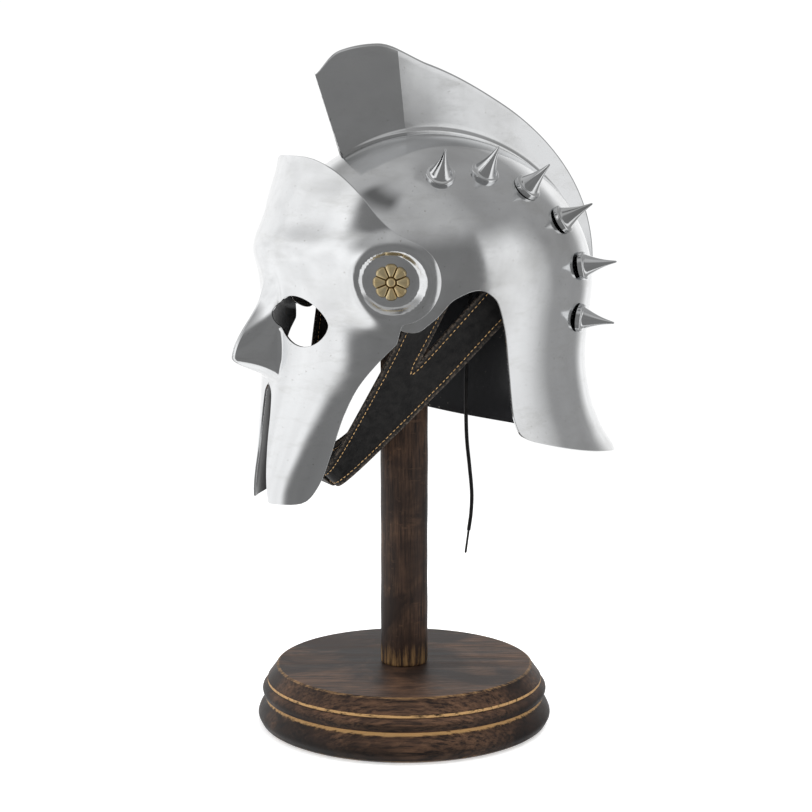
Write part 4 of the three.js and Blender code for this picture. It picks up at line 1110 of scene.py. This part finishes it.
def makeChinStraps():
    own = strap["stitch"]
    front, armFront, armBack, back, at = strapEdges()
    columns = 15
    patches = [pairedSheet(front, armFront, columns), pairedSheet(armBack, back, columns)]
    lines = [(insetLine(front, armFront, own["inset"]), sheetNormal(front, armFront)),
             (insetLine(back, armBack, own["inset"]), sheetNormal(armBack, back))]
    reach = at + 6
    fade = own["inset"] * np.clip((reach - np.arange(reach)) / 6, 0, 1)[:, None]
    inFront = insetLine(armFront, front, 1.0)[:reach] + unit(front - armFront)[:reach] * (fade - 1)
    inBack = insetLine(armBack, back, 1.0)[:reach] + unit(back - armBack)[:reach] * (fade - 1)
    lines += [(inFront, sheetNormal(front, armFront)[:reach]), (inBack, sheetNormal(armBack, back)[:reach])]
    edges = np.concatenate([front, back, armFront[:at + 1], armBack[:at + 1]])
    flat = np.concatenate([p.reshape(-1, 3) for p in patches])
    toEdge = np.concatenate([np.linalg.norm(part[:, None] - edges, axis=-1).min(1)
                             for part in np.array_split(flat, 8)])
    number = np.arange(len(flat)).reshape(2, strap["rows"], columns)
    number[1, at:, 0] = number[0, at:, -1]  # both arms share the middle line below the notch
    number = number.ravel()
    used, number = np.unique(number, return_inverse=True)
    rows = strap["rows"]
    both = [gridFaces(rows, columns), gridFaces(rows, columns, start=rows * columns)]
    fork = [number[np.concatenate(both)]]
    flat, toEdge = flat[used], toEdge[used]
    for side, sign in (("left", 1), ("right", -1)):
        mirrored = np.array([sign, 1, 1])
        place = helmetPlace + sign * strap["layer"] * strapThrough
        faces = fork if sign > 0 else [fork[0][:, ::-1]]
        normals = surfaceNormals(flat * mirrored, faces)
        outer = flat * mirrored + normals * strap["thickness"] / 2
        points, normals, faces, _, source = wallOf(outer, normals, faces, strap["thickness"], 0.8, 4)
        band = makePiece(f"leather_chin_strap_{side}", points + place, faces, [blackLeather],
                         attributes={"rim": bell(toEdge, 1.1)[source]}, normals=normals)
        settle(band, "black_leather", f"chin_strap_{side}")
        bodies = [stitchesAlong((line + face * normal * (strap["thickness"] / 2 + 0.08)), normal * face)
                  for line, normal in lines for face in (1, -1)]
        points, quads = joinBodies(bodies)
        thread = makePiece(f"stitches_chin_strap_{side}", points * mirrored + place, quads, [tanThread])
        settle(closeUp(thread), "black_leather")


# Sleeve round both straps at the chin: a rounded ring whose wall is a rounded bar.
def makeChinSleeve():
    stack = 2 * strap["thickness"] + 0.4
    wall, length = strap["sleeve wall"], strap["sleeve length"]
    halfAcross, halfThrough = strap["width"] / 2 + 1 + wall / 2, stack / 2 + 0.4 + wall / 2
    turn = np.linspace(0, 2 * np.pi, 96, endpoint=False)
    softened = lambda value: np.sign(value) * np.abs(value) ** 0.42
    across, through = halfAcross * softened(np.cos(turn)), halfThrough * softened(np.sin(turn))
    ring = across[:, None] * strapPlane + through[:, None] * strapThrough
    around = unit(np.roll(ring, -1, 0) - np.roll(ring, 1, 0))
    out = np.cross(around, [1.0, 0, 0])
    bar = np.linspace(0, 2 * np.pi, 40, endpoint=False)
    lengthwise = (length / 2) * np.sign(np.cos(bar)) * np.abs(np.cos(bar)) ** 0.16
    thick = (wall / 2) * np.sign(np.sin(bar)) * np.abs(np.sin(bar)) ** 0.5
    points = (ring[:, None] + thick[None, :, None] * out[:, None]
              + lengthwise[None, :, None] * np.array([1.0, 0, 0]))
    points = points.reshape(-1, 3) + [0, -strap["chin forward"], -strap["chin drop"]] + helmetPlace
    faces = [gridFaces(len(turn), len(bar), ringRows=True, ringColumns=True)]
    rim = np.tile(bell(length / 2 - np.abs(lengthwise), 1.2), len(turn))
    piece = makePiece("leather_chin_sleeve", points, faces, [blackLeather], attributes={"rim": rim})
    settle(closeUp(piece), "black_leather", "chin_sleeve")


def makeStrapTail():
    own = strap["stitch"]
    stack = 2 * strap["thickness"] + 0.4
    start = np.array([-strap["sleeve length"] / 2 - 1, -strap["chin forward"], -strap["chin drop"]])
    start = start - strapThrough * (stack / 2 + strap["sleeve wall"] + 1.5)
    way = unit(np.array([-0.3, 0.86, 0.42]))
    across = np.array([0.1, -0.4, 0.91])
    across = unit(across - across.dot(way) * way)
    tailEnd = 0.86 + 0.14 * np.sin(np.linspace(0.05, 1, 18) * np.pi / 2)
    along = np.concatenate([np.linspace(0, 0.86, 50), tailEnd])
    tip = np.clip((along - 0.86) / 0.14, 0, 0.995)
    half = strap["width"] / 2 * 0.92 * np.sqrt(1 - tip**2)
    middle = start + along[:, None] * strap["tail length"] * way
    middle[:, 2] -= 3 * np.sin(along * np.pi)
    left, right = middle + half[:, None] * across, middle - half[:, None] * across
    columns = 13
    sheet = pairedSheet(left, right, columns).reshape(-1, 3)
    outline = np.concatenate([left, right])
    toEdge = np.linalg.norm(sheet[:, None] - outline, axis=-1).min(1)
    faces = [gridFaces(len(along), columns)]
    normals = surfaceNormals(sheet, faces)
    outer = sheet + normals * strap["thickness"] / 2
    points, normals, faces, _, source = wallOf(outer, normals, faces, strap["thickness"], 0.8, 4)
    tail = makePiece("leather_strap_tail", points + helmetPlace, faces, [blackLeather],
                     attributes={"rim": bell(toEdge, 1.1)[source]}, normals=normals)
    settle(tail, "black_leather", "strap_tail")
    inner = np.maximum(half - own["inset"], 0)[:, None] * across
    ends = along < 0.93
    loop = np.concatenate([(middle + inner)[ends], (middle - inner)[ends][::-1]])
    normal = np.broadcast_to(unit(np.cross(way, across)), loop.shape)
    proud = strap["thickness"] / 2 + 0.08
    bodies = [stitchesAlong(loop + face * normal * proud, face * normal) for face in (1, -1)]
    points, quads = joinBodies(bodies)
    thread = makePiece("stitches_strap_tail", points + helmetPlace, quads, [tanThread])
    settle(closeUp(thread), "black_leather")


makeChinStraps()
makeChinSleeve()
makeStrapTail()
print("straps: done")


# Stand: turned wood. Profiles are (radius, height, rubbed), where rubbed bares lighter wood.
stand = {
    "base height": 41.0,
    "base radius": 100.0,
    "post radius": 16.0,
    "post length": 318.0,
    "foot": [(0.94, 0, 0.4), (0.965, 0.03, 0.35), (0.985, 0.09, 0.15), (1, 0.18, 0.1), (0.985, 0.3, 0.1),
             (0.955, 0.4, 0.2), (0.947, 0.44, 0.6)],
    "bead": [(0.940, 0.455, 1.25), (0.939, 0.48, 1.25), (0.947, 0.495, 0.5), (0.963, 0.53, 0),
             (0.97, 0.59, 0),
             (0.964, 0.64, 0), (0.948, 0.68, 0), (0.936, 0.695, 0)],
    "side": [(0.931, 0.71, 0), (0.932, 0.725, 0.2), (0.936, 0.735, 1.0), (0.936, 0.75, 1.0),
             (0.933, 0.765, 0.3), (0.928, 0.79, 0),
             (0.889, 0.92, 0), (0.882, 0.945, 0.2), (0.877, 0.965, 0.2), (0.871, 0.985, 0.4),
             (0.863, 0.997, 0.42), (0.853, 1, 0.2), (0.83, 1, 0)],
    "rest": [(0.05, 0), (22, 0), (22.8, 0.6), (27, 7.5), (32.2, 15.5), (33, 17)],
    "rest radius": 33.0,
    "rest height": 34.0,
}


def makeTurnedWood(name, rows, at, wood, node, around=160):
    rows = np.array(rows, float)
    points, faces = turned(rows[:, :2], seat=(0, 0, at), around=around)
    rubbed = np.concatenate([np.repeat(rows[:, 2], around), [rows[0, 2], rows[-1, 2]]])
    piece = closeUp(makePiece(name, points, faces, [wood], attributes={"rubbed": rubbed}))
    piece.data.set_sharp_from_angle(angle=math.radians(48))
    return settle(piece, "dark_wood", node)


def makeStand():
    scale = [stand["base radius"], stand["base height"], 1]
    top = stand["base radius"] * 0.83 * np.linspace(1, 0.004, 30)[1:]
    base = np.concatenate([
        splineThrough(stand["foot"], 40) * scale, splineThrough(stand["bead"], 40) * scale,
        splineThrough(stand["side"], 70) * scale,
        np.stack([top, np.full(29, stand["base height"]), np.zeros(29)], 1),
    ])
    makeTurnedWood("wooden_base", base, 0, baseWood, "stand_base")
    length = stand["post length"]
    high = np.concatenate([[0.0, 0.5, 1.2, 2.5], np.linspace(4, length - 2, 150), [length - 0.3]])
    worn = 0.46 * np.exp(-((high / 17) ** 2))
    uneven = 0.10 * np.sin(high / 17) + 0.07 * np.sin(high / 5.3)
    radius = stand["post radius"] - 0.1 + uneven - 0.7 * np.exp(-high / 0.5)
    post = np.concatenate([[[0.05, 0, 0.2]], np.stack([radius, high, worn], 1), [[0.05, length - 0.3, 0]]])
    makeTurnedWood("wooden_post", post, stand["base height"], postWood, "stand_post", 96)
    bend = np.radians(np.linspace(0, 89, 30))[1:]
    low, high = stand["rest height"] / 2, stand["rest height"]
    dome = np.stack([stand["rest radius"] * np.cos(bend), low + (high - low) * np.sin(bend)], 1)
    knob = np.concatenate([np.array(stand["rest"]), dome])
    knob = np.column_stack([knob, np.zeros(len(knob))])
    makeTurnedWood("wooden_rest", knob, stand["base height"] + length, postWood, "stand_rest", 96)


makeStand()
print("stand: done")


# Pale floor, and a soft studio: two white walls, a dim curtain between them and a grey ceiling.
studio = {
    "white": 1.7,  # strength of the world, which every level below is divided by
    "backdrop": 1.05,  # what the camera sees behind the object
    "room": 0.34,  # light where there is no wall or flag
    # Walls and flags round the object, each over the ones before it: degrees round from the
    # front and degrees up, each as (start, end, how soft each of the two edges is). An end past
    # straight up or down leaves that edge out.
    "cards": {
        "ceiling": {"round": (-115, 118, 14, 14), "up": (38, 120, 10, 1), "level": 0.48},
        "front wall": {"round": (-155, 17, 8, 5), "up": (-120, 28, 1, 8), "level": 1.05},
        "right wall": {"round": (116.5, 152, 0.8, 12), "up": (-120, 30, 1, 9), "level": 0.95},
        "curtain": {"round": (20, 115.5, 4, 0.8), "up": (-120, 34, 1, 6), "level": 0.2},
        "high flag": {"round": (-28, 42, 8, 8), "up": (60, 74, 5, 5), "level": 0.12},
    },
    "floor": {"tone": 0.80, "glow": 0.5, "whole": 0.42, "gone": 1.0},
    "key": {"from": (-0.9, -1.3, 1.6), "size": 2.0, "power": 22.0},
    "top": {"from": (0.1, 0.5, 1.9), "size": 1.6, "power": 34.0},
    "fill": {"from": (1.5, -0.4, 1.2), "size": 0.6, "power": 6.0},
}


# The floor is whole round the object and fades out to the white world further away.
def makeFloor():
    own = studio["floor"]
    half = 1200.0
    points = np.array([[-half, -half, 0], [half, -half, 0], [half, half, 0], [-half, half, 0]])
    material, tree, shader, place = startFinish("pale_floor", Roughness=0.8)
    tone = noise(tree, place, 3.0)
    pale = ramp(tree, tone, [(0.0, own["tone"]), (1.0, own["tone"] + 0.02)])
    tree.links.new(pale, shader.inputs["Base Color"])
    shader.inputs["Emission Color"].default_value = (1, 1, 1, 1)
    shader.inputs["Emission Strength"].default_value = own["glow"]
    away = tree.nodes.new("ShaderNodeVectorMath")
    away.operation = "LENGTH"
    tree.links.new(place, away.inputs[0])
    clear = tree.nodes.new("ShaderNodeBsdfTransparent")
    fade = tree.nodes.new("ShaderNodeMixShader")
    tree.links.new(ramp(tree, away.outputs["Value"], [(own["whole"], 0), (own["gone"], 1)]), fade.inputs[0])
    tree.links.new(shader.outputs[0], fade.inputs[1])
    tree.links.new(clear.outputs[0], fade.inputs[2])
    tree.links.new(fade.outputs[0], tree.nodes["Material Output"].inputs[0])
    floor = makePiece("floor", points, [np.array([[0, 1, 2, 3]])], [material])
    floor.visible_glossy = False


def makeStudio():
    world = bpy.data.worlds.new("studio")
    bpy.context.scene.world = world
    world.use_nodes = True
    tree = world.node_tree
    back = tree.nodes["Background"]
    way = tree.nodes.new("ShaderNodeTexCoord").outputs["Generated"]
    split = tree.nodes.new("ShaderNodeSeparateXYZ")
    tree.links.new(way, split.inputs[0])
    turn = combine(tree, "ARCTAN2", split.outputs[0], combine(tree, "MULTIPLY", split.outputs[1], -1.0))
    around = combine(tree, "ADD", combine(tree, "DIVIDE", turn, 2 * math.pi), 0.5)
    rise = combine(tree, "ARCSINE", split.outputs[2], 0.0)
    height = combine(tree, "ADD", combine(tree, "DIVIDE", rise, math.pi), 0.5)

    def within(factor, span, whole):
        start, end, first, last = span
        edges = [(start - first, 0), (start + first, 1), (end - last, 1), (end + last, 0)]
        return ramp(tree, factor, [(at / whole + 0.5, value) for at, value in edges if abs(at) < whole / 2])

    lit = (studio["room"] / studio["white"],) * 3
    for card in studio["cards"].values():
        share = combine(tree, "MULTIPLY", within(around, card["round"], 360), within(height, card["up"], 180))
        lit = mixColour(tree, share, lit, (card["level"] / studio["white"],) * 3)
    cloud = ramp(tree, noise(tree, way, 3.2, 3.0, 0.55), [(0.3, 0.88), (0.7, 1.08)])
    bright = mixColour(tree, 1.0, lit, cloud, "MULTIPLY")
    seen = tree.nodes.new("ShaderNodeLightPath").outputs["Is Camera Ray"]
    shown = mixColour(tree, seen, bright, (studio["backdrop"] / studio["white"],) * 3)
    tree.links.new(shown, back.inputs["Color"])
    back.inputs["Strength"].default_value = studio["white"]
    bpy.context.scene.view_settings.view_transform = "Standard"


def makeLamp(name, own):
    lamp = bpy.data.objects.new(name, bpy.data.lights.new(name, "AREA"))
    lamp.data.energy = own["power"]
    lamp.data.size = own["size"]
    lamp.location = own["from"]
    lamp.visible_glossy = False
    aim = Vector((0, 0, 0.25)) - lamp.location
    lamp.rotation_euler = aim.to_track_quat("-Z", "Y").to_euler()
    bpy.context.scene.collection.objects.link(lamp)


makeFloor()
makeStudio()
makeLamp("key_light", studio["key"])
makeLamp("top_light", studio["top"])
makeLamp("fill_light", studio["fill"])
print("studio: done")
